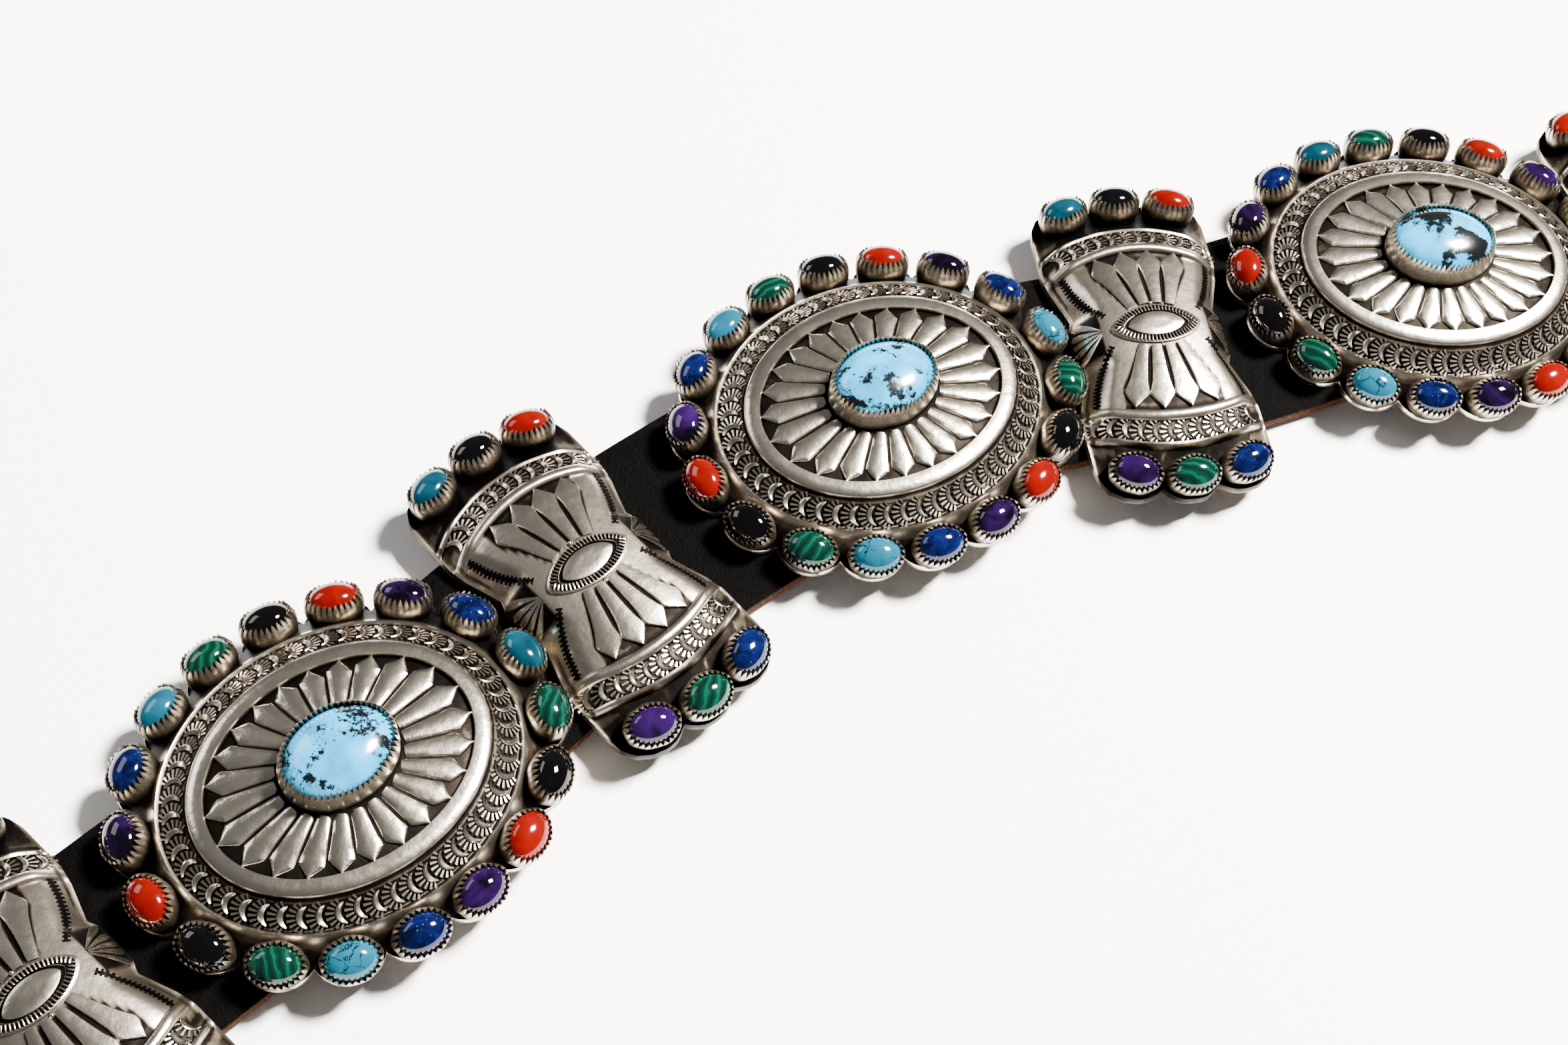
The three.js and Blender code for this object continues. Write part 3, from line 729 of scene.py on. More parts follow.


# Bezels and cabochons, with X along the rim, Y towards the middle of the piece and Z up

# Rows run from inside the stone's seat over the teeth to the foot, each with the share of the
# half sizes, height, thickness of the wall and shade; a pair is for tooth tips and for valleys.
# The dark valleys between the teeth and the darkening down the wall to the foot are painted
# shade over the real black oxide.
bezelShape = {
    "halfLength": 4.9,
    "halfWidth": 3.7,
    "teeth": 26,
    "lean": 23,
    "wobble": 2.5,
    # size, count and phase of the hand-made unevenness, of the outline and of the tips
    "waves": [(0.012, 5, 1), (0.012, 9, 0)],
    "tipWave": (0.12, 7, 2),
    "rows": [
        (0.86, 2.4, 0.28, 1.0), (0.9, 3.3, 0.28, 0.8),
        ((0.885, 0.985), (4.75, 3.7), 0.28, (0.0, 0.85)),
        ((0.885, 0.985), (4.75, 3.7), 0, (0.0, 0.85)), ((1.0, 0.994), 3.4, 0, (0.1, 0.5)),
        ((1.012, 1.005928), 2.294, 0, (0.4, 0.46)), (0.98, 1.036, 0, 0.82), (0.9, 0.0, 0, 0.95),
        (0.88, -0.9, 0, 1.0),
    ],
}
centreBezelShape = {
    "halfLength": 10.1,
    "halfWidth": 7.9,
    "teeth": 58,
    "waves": [(0.006, 7, 0)],
    "tipWave": (0.15, 11, 0),
    # The dark valleys between the teeth and the dark foot are painted shade over the real oxide
    "rows": [
        (0.93, 11.8, 0.35, 1.0), ((0.93, 0.99), (14.45, 13.0), 0.35, (0.0, 0.5)),
        ((0.93, 0.99), (14.45, 13.0), 0, (0.0, 0.4)), (1.0, 12.6, 0, 0.05), (1.005, 10.8, 0, 0.15),
        (0.995, 9.2, 0, 0.7), (1.03, 8.85, 0, 1.0), (1.03, 8.3, 0, 1.0),
    ],
}


def makeBezel(name, shape):
    a, b = shape["halfLength"], shape["halfWidth"]
    columns = 2 * shape["teeth"]
    tips = np.arange(columns) % 2 == 1
    angles = evenAngles(a, b, np.arange(columns) / columns)
    wave = 1 + sum(size * np.sin(count * angles + phase) for size, count, phase in shape["waves"])
    size, count, phase = shape["tipWave"]
    uneven = np.where(tips, size * np.sin(count * angles + phase), 0)
    rings = []
    shades = []
    for row in shape["rows"]:
        share, z, wall, shade = [np.where(tips, *np.broadcast_to(value, 2)) for value in row]
        z = z + uneven * (np.ptp(z) > 0)
        x = (a * share - wall) * np.cos(angles) * wave
        y = (b * share - wall) * np.sin(angles) * wave
        rings.append(np.stack([x, y, z], axis=1))
        shades.extend(shade)
    ends = [(0, 0, shape["rows"][k][1]) for k in (0, -1)]
    return ringBody(name, rings, shades, *ends, 50)


cabochonShape = {
    "halfLength": 4.25,
    "halfWidth": 3.1,
    "floor": 2.5,
    "girdle": 3.7,
    "top": 5.85,
    "columns": 30,
}
centreGemShape = {
    "halfLength": 9.3,
    "halfWidth": 7.1,
    "floor": 9.2,
    "girdle": 12.6,
    "top": 15.6,
    "columns": 56,
}
cabochonBow = {"shares": [0.25, 0.5, 0.7, 0.85, 0.95, 1.0], "powers": (2.4, 0.62), "foot": 0.97}


def makeCabochon(name, shape, bow):
    a, b, top, girdle = [shape[key] for key in ("halfLength", "halfWidth", "top", "girdle")]
    inner, outer = bow["powers"]
    sizes = [
        (share, girdle + (top - girdle) * (1 - share**inner) ** outer) for share in bow["shares"]
    ]
    sizes.append((bow["foot"], shape["floor"]))
    fractions = np.arange(shape["columns"]) / shape["columns"]
    rows = [oval(a * share, b * share, z, fractions) for share, z in sizes]
    return ringBody(name, rows, [0.0] * len(rows), (0, 0, top), (0, 0, shape["floor"]), 60)


bezelMesh = makeBezel("bezel", bezelShape)
cabochonMesh = makeCabochon("cabochon", cabochonShape, cabochonBow)
bezelPiece = makeObject("bezelPiece", bezelMesh)
cabochonPiece = makeObject("cabochonPiece", cabochonMesh)


petalShape = {
    "stations": [0.0, 0.06, 0.2, 0.4, 0.58, 0.7, 0.77, 0.83, 0.89, 0.95, 1.0],
    "halfWidths": [1.08, 1.2, 1.36, 1.62, 1.88, 2.08, 2.12, 1.62, 1.02, 0.5, 0.06],
    "height": 0.62,
    "swell": 0.2,
    # place across, share of the height and shade, from the edge to the crest; the dark edges are
    # painted shade in the gaps between the petals over the real oxide
    "profile": [
        (-1, -0.5, 0.9), (-0.97, 0.4, 0.35), (-0.86, 0.68, 0.02), (-0.45, 0.92, 0), (0, 1, 0),
    ],
}


# Raised petal of unit length, with a shoulder and a drawn-out point
def makePetal(name, shape):
    stations = []
    for x, half in zip(shape["stations"], shape["halfWidths"]):
        crown = 1 - shape["swell"] * (1 - math.sin(math.pi * min(x * 1.1, 1)))
        stations.append(((x, 0), (0, 1), half, shape["height"] * crown))
    return sweep(name, stations, bothSides(shape["profile"]))


stampShape = {
    "arcRadius": 1.95,
    "arcWidth": 1.02,
    "arcSpan": 84,
    "arcSteps": 8,
    "arcTaper": (0.72, 2.2),
    # The arc's dark feet are painted shadow of its step over the oxide of the stamped band
    "arcProfile": [(0, -0.4, 0.9), (0, 0.8, 0.25), (0.3, 1.15, 0), (1, 0.35, 0.15), (1, -0.4, 0.9)],
    "rays": 8,
    "raySpan": 62,
    "rayStart": 2.08,
    "rayLength": 1.55,
    "rayTaper": 0.45,
    "rayFoot": -0.15,
    # half width, share of the height and shade at a ray's start and end
    "rayEnds": [(0.14, 0.55, 0.15), (0.23, 0.75, 0.0)],
    "height": 0.42,
}
boxFaces = [(3, 2, 1, 0), (4, 5, 6, 7), (0, 1, 5, 4), (1, 2, 6, 5), (2, 3, 7, 6), (3, 0, 4, 7)]


# Directions spread to both sides of a heading, each with its share of the spread
def spreadOut(heading, span, count):
    for k in range(count):
        share = 2 * k / (count - 1) - 1
        angle = math.radians(heading + span * share)
        yield share, np.array([math.cos(angle), math.sin(angle)])


# Half-moon stamp with rays; its bow looks along -X
def makeStamp(name, shape):
    radius, height = shape["arcRadius"], shape["height"]
    taper, power = shape["arcTaper"]
    stations = [
        (radius * ahead, -ahead, shape["arcWidth"] * (1 - taper * abs(share) ** power), height)
        for share, ahead in spreadOut(180, shape["arcSpan"], shape["arcSteps"] + 1)
    ]
    arc = sweep(name + "Arc", stations, shape["arcProfile"])
    (startHalf, startRise, startShade), (endHalf, endRise, endShade) = shape["rayEnds"]
    points = []
    faces = []
    for share, ahead in spreadOut(180, shape["raySpan"], shape["rays"]):
        inner = shape["rayStart"]
        outer = inner + shape["rayLength"] * (1 - shape["rayTaper"] * abs(share))
        aside = np.array([-ahead[1], ahead[0]])
        sides = [(inner, -startHalf), (outer, -endHalf), (outer, endHalf), (inner, startHalf)]
        corners = [ahead * r + aside * half for r, half in sides]
        faces += [[len(points) + i for i in face] for face in boxFaces]
        points += [(*corner, shape["rayFoot"]) for corner in corners]
        rises = (startRise, endRise, endRise, startRise)
        points += [(*corner, height * rise) for corner, rise in zip(corners, rises)]
    # The rays' dark feet are painted shade between them over the oxide
    shades = [0.85] * 4 + [startShade, endShade, endShade, startShade]
    rays = makeMesh(name + "Rays", points, faces, shades * shape["rays"])
    return joinMeshes(name, [arc, rays])


petalPiece = makeObject("petalPiece", makePetal("petal", petalShape))
stampPiece = makeObject("stampPiece", makeStamp("stamp", stampShape))
print("bezel, stone, petal and stamp shaped")


# Concho: domed oval plate, petal flower, plain ring, stamped band, ridge and scalloped rim

conchoShape = {
    "halfLength": 38.2,
    "halfWidth": 32.4,
    "seat": (34.19, 28.9, 1.8),
    "lobes": 18,
    "stepsPerLobe": 16,
    "lobeDepth": 3.3,
    "lobeBow": 0.88,
    "petals": 24,
    "petalInner": (10.7, 8.5, 8.75),
    "petalOuter": (22.65, 17.25, 7.6),
    "stamps": 54,
    "stampRow": (27.65, 22.75, 5.62),
    "stampSize": 0.92,
    "stampLean": 30.8,
    "stampWobble": 2,
    "loop": (16, 4.9),
    "stoneOrder": ["turquoise", "lapis", "amethyst", "coral", "onyx", "malachite"],
    # half length, half width, height, shade of each ring on the face of the plate; the dark
    # shades in the grooves, in the gaps between the petals and in the stamped band are partly
    # real oxide and partly painted shade
    "face": [
        (4.0, 3.0, 9.0, 1.0), (10.6, 8.4, 9.0, 1.0), (12.0, 9.6, 8.75, 0.9),
        (17.0, 13.2, 8.3, 0.95), (20.6, 15.6, 7.85, 0.9), (21.9, 16.6, 7.6, 0.88),
        (22.5, 17.1, 7.45, 1.0), (22.62, 17.22, 8.15, 0.4), (22.8, 17.4, 8.4, 0.0),
        (23.9, 18.6, 8.32, 0.02), (25.1, 19.9, 8.0, 0.0), (25.35, 20.15, 7.75, 0.3),
        (25.45, 20.3, 7.1, 1.0), (25.9, 20.85, 6.75, 0.6), (26.1, 21.1, 6.6, 0.85),
        (27.6, 22.65, 5.6, 0.85), (29.1, 24.3, 4.45, 0.85), (29.4, 24.55, 4.35, 0.6),
        (29.6, 24.75, 4.35, 1.0), (29.9, 25.0, 4.75, 0.3), (30.3, 25.4, 4.95, 0.05),
        (30.8, 25.8, 4.6, 0.2), (31.2, 26.1, 3.8, 0.45), (31.9, 26.8, 3.0, 0.75),
        (34.19, 28.9, 1.8, 1.0),
    ],
    # share of the way from the stone seats to the scalloped edge, height, shade; the black pockets
    # under the bezels are painted shadow over the real oxide
    "rim": [
        (0.4, 1.25, 1.0), (0.72, 0.95, 0.9), (0.86, 0.98, 0.85), (0.93, 1.05, 0.15),
        (1.0, 0.8, 0.0), (1.0, 0.0, 0.4),
    ],
    # underside, from the edge in
    "back": [
        (32.8, 27.5, 0.0, 0.5), (28.1, 23.3, 2.9, 0.6), (23.4, 18.1, 6.9, 0.6),
        (12.0, 9.6, 7.6, 0.6),
    ],
}


def scallopEdge(shape, fractions):
    a, b, _ = shape["seat"]
    angles = evenAngles(a, b, fractions)
    u = np.mod(fractions * shape["lobes"] + 0.5, 1.0) * 2 - 1
    bow = shape["lobeBow"]
    sag = (1 - np.sqrt(1 - (u * bow) ** 2)) / (1 - math.sqrt(1 - bow**2))
    normal = np.stack([np.cos(angles) / a, np.sin(angles) / b], axis=1)
    normal /= np.linalg.norm(normal, axis=1, keepdims=True)
    drop = shape["lobeDepth"] * sag
    x = a * np.cos(angles) + normal[:, 0] * (shape["halfLength"] - a - drop)
    y = b * np.sin(angles) + normal[:, 1] * (shape["halfWidth"] - b - drop)
    return np.stack([x, y, np.zeros(len(x))], axis=1)


def makePlate(name, shape):
    columns = shape["lobes"] * shape["stepsPerLobe"]
    fractions = np.arange(columns) / columns
    edge = scallopEdge(shape, fractions)
    rings = [oval(*row[:3], fractions) for row in shape["face"]]
    seat = rings[-1]
    for share, z, _ in shape["rim"]:
        ring = seat + (edge - seat) * share
        ring[:, 2] = z
        rings.append(ring)
    rings += [oval(*row[:3], fractions) for row in shape["back"]]
    shades = [row[-1] for part in ("face", "rim", "back") for row in shape[part]]
    top, bottom = shape["face"][0][2], shape["back"][-1][2]
    return ringBody(name, rings, shades, (0, 0, top), (0, 0, bottom), 38)


beltLoopShape = {"inside": 22.2, "strip": 1.0, "corner": 0.4, "chamfer": 0.25, "shade": 0.45}


# U-shaped strip behind a silver piece, which the strap runs through
def makeBeltLoop(name, width, top, shape):
    inner, corner = shape["inside"], shape["corner"]
    outer = inner + shape["strip"]
    low = -piecePlace["rimAboveLoop"]
    floor = low + shape["strip"]
    side = [(-outer, top), (-outer, low + corner), (corner - outer, low)]
    outline = [*side, *[(-y, z) for y, z in side[::-1]]]
    outline += [(inner, top), (inner, floor), (-inner, floor), (-inner, top)]
    end = width / 2
    halves = [-end, shape["chamfer"] - end, end - shape["chamfer"], end]
    points = [(x, y, z) for x in halves for y, z in outline]
    count = len(outline)
    faces = [face[::-1] for face in ringFaces(len(halves), count)]
    last = (len(halves) - 1) * count
    for band in [(0, 1, 8, 9), (1, 2, 8), (2, 3, 7, 8), (3, 4, 7), (4, 5, 6, 7)]:
        faces.append(band[::-1])
        faces.append(tuple(last + i for i in band))
    return makeMesh(name, points, faces, [shape["shade"]] * len(points), 30)


# Copies of a mesh in silver, as one mesh
def joinSilver(name, meshes):
    return joinMeshes(name, [withMaterial(mesh.copy(), silver) for mesh in meshes])


plateMesh = makePlate("conchoPlate", conchoShape)
conchoLoop = makeBeltLoop("conchoLoop", *conchoShape["loop"], beltLoopShape)
centreBezel = makeBezel("centreBezel", centreBezelShape)
centreGem = makeCabochon("centreGem", centreGemShape, cabochonBow)
seatPath, stampPath, petalInnerPath, petalOuterPath = [
    makePath(key + "Path", oval(*conchoShape[key], np.arange(360) / 360), True)
    for key in ("seat", "stampRow", "petalInner", "petalOuter")
]
petalValues = {
    "Piece": petalPiece,
    "Inner": petalInnerPath,
    "Outer": petalOuterPath,
    "Count": conchoShape["petals"],
    "Width": 1.0,
    "Material": silver,
}
petalMesh = runTree(spokeTree, petalValues)

for number in range(1, 7):
    place = placeOf("concho", number)
    seats = partial(
        repeatAlong,
        path=seatPath,
        count=conchoShape["lobes"],
        lean=bezelShape["lean"],
        wobble=bezelShape["wobble"],
        seed=number,
    )
    stamps = repeatAlong(
        stampPiece,
        stampPath,
        conchoShape["stamps"],
        silver,
        conchoShape["stampLean"],
        size=conchoShape["stampSize"],
        wobble=conchoShape["stampWobble"],
        seed=number,
    )
    bezels = seats(bezelPiece, material=silver)
    parts = [plateMesh, conchoLoop, centreBezel, petalMesh, bezels, stamps]
    plate = joinSilver(f"concho{number}Silver", parts)
    finishPiece(f"conchoSilver_{number}", plate, place, "silver", f"concho_{number}")
    kinds = conchoShape["stoneOrder"]
    stones = [
        seats(cabochonPiece, material=stoneMaterials[kind], every=len(kinds), offset=order)
        for order, kind in enumerate(kinds)
    ]
    rim = joinMeshes(f"concho{number}Stones", stones)
    finishPiece(f"conchoRimStones_{number}", rim, place, "turquoise")
    gem = withMaterial(centreGem.copy(), centreMaterial)
    finishPiece(f"centreStone_{number}", gem, place, "turquoise", f"center_stone_{number}")
    print("concho", number, "made")


# Butterfly: domed plate with fans of petals, a lens in the middle and three stones at each end

butterflyShape = {
    "halfWidth": 16.6,
    # half width at distances from the middle
    "side": [
        (0, 14.6), (4.2, 14.6), (4.6, 14.3), (5.5, 13.5), (6.6, 13.9), (9.35, 14.8), (12.5, 15.9),
        (16, 16.6), (25, 16.55),
    ],
    # end edge at distances from the long axis
    "end": [
        (0, 33.4), (1.6, 33.3), (2.9, 32.9), (4.3, 31.7), (5.2, 30.6), (6.2, 31.5), (8.0, 32.3),
        (9.96, 32.4), (12.5, 31.7), (14.8, 30.1), (16.0, 28.0), (16.6, 25.0),
    ],
    "rise": 8.0,
    "sideFall": 0.45,
    "profile": [(0, 1), (8, 0.975), (14, 0.9), (19, 0.8), (23.4, 0.62), (26.7, 0.36), (33.4, 0.1)],
    "edge": 1.5,
    # distance from the side and from the end over which the face drops
    "edgeFall": (5.2, 3.0),
    "thickness": 1.6,
    "columns": 57,
    "columnSpread": 0.92,
    "rowBend": 0.0165,
    "bendFrom": 3,
    "bendOver": 13,
    # place along the middle, height over the dome, shade of each row of the face; the dark rows in
    # the fans, under the ridges and round the band are partly real oxide and partly painted shade
    "rows": [
        (0, 0, 0.35), (2, 0, 0.35), (4, 0, 0.4), (5.5, -0.1, 0.9), (7, -0.1, 1.0), (9, -0.1, 1.0),
        (11, -0.1, 1.0), (13, -0.1, 1.0), (15, -0.1, 0.95), (16.6, -0.1, 0.8), (17.4, -0.2, 1.0),
        (17.75, 0.35, 0.2), (18.1, 0.62, 0.0), (18.7, 0.7, 0.0), (19.3, 0.6, 0.0),
        (19.6, 0.35, 0.25), (19.8, -0.25, 1.0), (20.4, -0.2, 0.75), (21.6, -0.2, 0.85),
        (22.8, -0.2, 0.75), (23.2, -0.3, 1.0), (23.45, 0.15, 0.2), (23.9, 0.4, 0.0),
        (24.4, 0.2, 0.15), (24.7, -0.35, 0.9),
    ],
    # share of the way from the last row to the end edge, shade; the dark rows by the stones are
    # painted shade over the real oxide
    "endRows": [
        (0.12, 0.6), (0.3, 0.8), (0.5, 0.85), (0.68, 0.85), (0.82, 0.8), (0.93, 0.3), (1.0, 0.0),
    ],
    "endDip": -0.35,
    "reliefFade": 1.3,
    "lip": {"width": 0.55, "height": 0.25, "shade": 0.05},
    "backShade": 0.6,
    # half width of the petal fans at distances from the middle, and the plain silver beside them
    "fan": [(0, 7.0), (3.5, 4.4), (13.3, 9.3), (17, 9.6)],
    "plainShade": 0.24,
    # The ground of the shell stamps at the waist is dark: oxide with painted shade between their
    # rays
    "tab": {"reach": 4.4, "from": 10.2, "shade": 0.95},
    # A dark line painted along each side, standing for the oxide and shade of a groove that the
    # mesh does not carve
    "groove": {"inset": 0.95, "width": 0.32, "from": 9, "shade": 0.75},
    "stoneShadow": (1.62, 0.4),
    # place and turn of the stones at one end
    "seats": [(0, 29.2, 0), (9.96, 27.7, -20), (-9.96, 27.7, 20)],
    "seatJitter": 2,
    "seed": 11,
    "lens": (8.6, 4.2),
    "loop": (10, 4.6),
    # kind of stone at -X, in the middle and at +X
    "farStones": ["turquoise", "onyx", "coral"],
    "nearStones": ["amethyst", "malachite", "lapis"],
    "turnedRound": 5,  # number of the piece whose stones run the other way
}


def dome(shape, x, y):
    middle = np.interp(np.abs(y), *zip(*shape["profile"]))
    return shape["rise"] * middle * (1 - shape["sideFall"] * (x / shape["halfWidth"]) ** 2)


def sideAt(shape, y):
    return np.interp(np.abs(y), *zip(*shape["side"]))


# Height of the face with its edge drawn down to the rim
def faceHeight(shape, x, y):
    endY = np.interp(np.abs(x), *zip(*shape["end"]))
    sideFall, endFall = shape["edgeFall"]
    toSide = (sideAt(shape, y) - np.abs(x)) / sideFall
    toEnd = (endY - np.abs(y)) / endFall
    share = np.sin(np.clip(np.minimum(toSide, toEnd), 0, 1) * np.pi / 2)
    return shape["edge"] + (dome(shape, x, y) - shape["edge"]) * share


# Rows and columns of points on the face: x, y, relief and shade, from -Y to +Y and -X to +X
def butterflyGrid(shape):
    quarter = np.pi / 2 * shape["columnSpread"]
    across = np.sin(np.linspace(-1, 1, shape["columns"]) * quarter) / math.sin(quarter)
    half = []
    for v, relief, shade in shape["rows"]:
        bend = shape["rowBend"] * np.clip((v - shape["bendFrom"]) / shape["bendOver"], 0, 1)
        y = np.full(len(across), float(v))
        for _ in range(4):
            x = across * sideAt(shape, y)
            y = v - bend * x**2
        half.append((x, y, relief, shade))
    endY = np.interp(np.abs(x), *zip(*shape["end"]))
    for share, shade in shape["endRows"]:
        half.append((x, y + (endY - y) * share, shape["endDip"] * (1 - share), shade))
    full = [(x, -y, relief, shade) for x, y, relief, shade in half[:0:-1]] + half
    return [np.array([np.broadcast_to(row[k], across.shape) for row in full]) for k in range(4)]


def makeButterflyPlate(name, shape):
    x, y, relief, shade = butterflyGrid(shape)
    inset = sideAt(shape, y) - np.abs(x)
    lip = shape["lip"]
    inner = np.clip(inset / lip["width"], 0, 1)
    face = faceHeight(shape, x, y)
    top = face + relief * np.clip(inset / shape["reliefFade"], 0, 1) + lip["height"] * (1 - inner)
    shade = shade * inner + lip["shade"] * (1 - inner)
    fan = shape["fan"]
    beside = np.abs(x) > np.interp(np.abs(y), *zip(*fan))
    shade = np.where((np.abs(y) < fan[-1][0]) & beside & (inner > 0.5), shape["plainShade"], shade)
    tab, groove = shape["tab"], shape["groove"]
    onTab = (np.abs(y) < tab["reach"]) & (np.abs(x) > tab["from"])
    shade = np.where(onTab, tab["shade"], shade)
    line = np.exp(-(((inset - groove["inset"]) / groove["width"]) ** 2))
    shade = np.maximum(shade, groove["shade"] * line * (np.abs(y) > groove["from"]))
    far, soft = shape["stoneShadow"]
    for seatX, seatY, _ in shape["seats"]:
        reach = np.hypot(
            (x - seatX) / bezelShape["halfLength"], (np.abs(y) - seatY) / bezelShape["halfWidth"]
        )
        shade = np.maximum(shade, np.clip((far - reach) / soft, 0, 1) * inner)
    under = np.maximum(face - shape["thickness"], 0.0)
    under[[0, -1], :] = 0.0
    under[:, [0, -1]] = 0.0
    points = [np.stack([x, y, z], axis=2).reshape(-1, 3) for z in (top, under)]
    index = np.arange(x.size).reshape(x.shape)
    corners = [index[:-1, :-1], index[:-1, 1:], index[1:, 1:], index[1:, :-1]]
    quads = np.stack(corners, axis=-1).reshape(-1, 4)
    loop = np.array([*index[0, :-1], *index[:-1, -1], *index[-1, :0:-1], *index[:0:-1, 0]])
    ahead = np.roll(loop, -1)
    wall = np.stack([loop, loop + x.size, ahead + x.size, ahead], axis=-1)
    faces = [*quads.tolist(), *(quads[:, ::-1] + x.size).tolist(), *wall.tolist()]
    shades = [*shade.ravel(), *[shape["backShade"]] * x.size]
    return makeMesh(name, np.concatenate(points), faces, shades, 35)


# Sets a flat relief on the dome of the butterfly
def drape(mesh, shape, lift=0.0):
    points = np.empty(len(mesh.vertices) * 3)
    mesh.vertices.foreach_get("co", points)
    points = points.reshape(-1, 3)
    points[:, 2] += faceHeight(shape, points[:, 0], points[:, 1]) + lift
    mesh.vertices.foreach_set("co", points.ravel())
    mesh.update()
    return mesh


fanShape = {
    # foot and tip of each petal, half width at its shoulder
    "petals": [((1.2, 4.6), (2.55, 17.3), 2.5), ((3.5, 4.1), (7.65, 16.3), 2.5)],
    "halfWidths": [0.38, 0.41, 0.47, 0.57, 0.7, 0.87, 0.96, 0.8, 0.52, 0.26, 0.03],
    # The dark edges are painted shade in the gaps between the petals over the real oxide
    "profile": [
        (-1, -0.6, 0.9), (-0.96, 0.45, 0.3), (-0.84, 0.88, 0.02), (-0.45, 0.98, 0), (0, 1, 0),
    ],
    "lift": -0.1,
}


def makeFanPetal(name, foot, tip, half, shape):
    foot, tip = np.array(foot), np.array(tip)
    ahead = tip - foot
    aside = np.array([-ahead[1], ahead[0]]) / np.linalg.norm(ahead)
    stations = [
        (foot + ahead * x, aside, half * width, petalShape["height"])
        for x, width in zip(petalShape["stations"], shape["halfWidths"])
    ]
    return sweep(name, stations, bothSides(shape["profile"]))


# Pointed oval in the middle; rows of inset, height and shade from the middle out. The dark groove
# round it and its dark foot are partly real oxide and partly painted shade.
lensShape = {
    "columns": 60,
    "point": 0.35,
    "lift": -0.05,
    "ends": (0.75, -0.6),
    "rows": [
        (3.2, 0.78, 0.05), (2.3, 0.8, 0.05), (1.7, 0.62, 0.2), (1.6, 0.15, 1.0), (1.4, 0.15, 1.0),
        (1.3, 0.5, 0.5), (1.2, 0.55, 0.85), (0.45, 0.5, 0.85), (0.38, 0.62, 0.1), (0.1, 0.5, 0.0),
        (0.0, -0.5, 0.9),
    ],
    # insets and height of the path that the border's teeth stand on, and the part of it they fill
    "path": (0.6, 0.3, 0.62),
    "pathSpan": (0.08, 0.92),
}
# Rows of radius, height and shade from the top down; the dark foot is painted shade over the oxide
beadShape = {
    "y": 4.65,
    "columns": 14,
    "top": 0.53,
    "rows": [(0.18, 0.5, 0), (0.36, 0.38, 0), (0.48, 0.15, 0.3), (0.5, -0.4, 0.9)],
}


def pointedOval(a, b, z, turns):
    y = b * np.sin(turns) * np.abs(np.sin(turns)) ** lensShape["point"]
    return np.stack([a * np.cos(turns), y, np.full(len(turns), z)], axis=1)


def makeLens(name, size, shape):
    a, b = size
    turns = np.arange(shape["columns"]) / shape["columns"] * 2 * np.pi
    rings = [pointedOval(a - 2.0 * inset, b - inset, z, turns) for inset, z, _ in shape["rows"]]
    ends = [(0, 0, z) for z in shape["ends"]]
    return ringBody(name, rings, [row[-1] for row in shape["rows"]], *ends, 40)


def makeBead(name, shape):
    fractions = np.arange(shape["columns"]) / shape["columns"]
    rings = [oval(radius, radius, z, fractions) for radius, z, _ in shape["rows"]]
    shades = [row[-1] for row in shape["rows"]]
    return ringBody(name, rings, shades, (0, 0, shape["top"]), (0, 0, shape["rows"][-1][1]), 50)


# Short raised bar that stands to the left of a path; shades run from its foot to its crest
notchShape = {"start": 0, "length": 1.15, "width": 0.34, "height": 0.26, "shades": [0.9, 0.1, 0]}
combShape = {"start": -0.5, "length": 1.15, "width": 0.42, "height": 0.12, "shades": [1, 1, 1]}


def makeBar(name, shape):
    spots = [(-1, -0.6), (-0.7, 0.8), (0, 1)]
    profile = [(*spot, shade) for spot, shade in zip(spots, shape["shades"])]
    stations = []
    for share, rise in ((0.0, 0.75), (0.2, 1.0), (0.8, 1.0), (1.0, 0.75)):
        middle = (0, shape["start"] + shape["length"] * share)
        stations.append((middle, (-1, 0), shape["width"] / 2, shape["height"] * rise))
    return sweep(name, stations, bothSides(profile))


# Flat strip along a course, used for the black line under each comb
def makeStrip(name, course, width, height):
    ahead = np.gradient(course[:, :2], axis=0)
    ahead /= np.linalg.norm(ahead, axis=1, keepdims=True)
    stations = [(spot[:2], (-dy, dx), width / 2, 1) for spot, (dx, dy) in zip(course, ahead)]
    profile = [(-1, -0.4, 1), (-0.8, height, 1), (0.8, height, 1), (1, -0.4, 1)]
    return sweep(name, stations, profile)


shellShape = {
    "apex": 9.6,
    "reach": 4.7,
    "rays": 5,
    "spread": 44,
    # share of the reach, half width and height along a ray
    "stations": [(0.12, 0.1, 0.25), (0.5, 0.42, 0.42), (0.85, 0.72, 0.42), (1.0, 0.5, 0.2)],
    # The dark edges of the rays are painted shade between them over the real oxide
    "profile": [(-1, -1.4, 0.9), (-0.8, 0.8, 0.2), (0, 1, 0)],
    "lift": 0.05,
}


# Shell stamp at each end of the waist: rays that widen from one point
def makeShell(name, shape):
    rays = []
    for _, ahead in spreadOut(0, shape["spread"], shape["rays"]):
        way = ahead * shape["reach"] / max(ahead[0], 0.8)
        start = np.array([shape["apex"], 0])
        aside = (-ahead[1], ahead[0])
        stations = [(start + way * t, aside, half, z) for t, half, z in shape["stations"]]
        rays.append(sweep(name, stations, bothSides(shape["profile"])))
    return joinMeshes(name, rays)


def mirrored(mesh, x, y):
    copy = mesh.copy()
    copy.transform(Matrix.Diagonal((x, y, 1, 1)))
    if x != y:
        copy.flip_normals()
    return copy


borderShape = {
    "pathPoints": 60,
    "lensTeeth": 26,
    "bandStamps": 12,
    "bandRays": 7,
    "bandSize": 0.82,
    "bandMiddle": 21.5,
    "bandHalfWidth": 14.2,
    "bandLift": -0.15,
    "wobble": 3,
    "combTeeth": 17,
    "combLift": 0.06,
    "combLine": (0.6, 0.13),
    "combPoints": 40,
    "combCourse": [(13.9, 14.5, 0), (12.9, 10.8, 0), (11.7, 7.9, 0), (10.4, 5.5, 0), (8.9, 3.5, 0)],
}


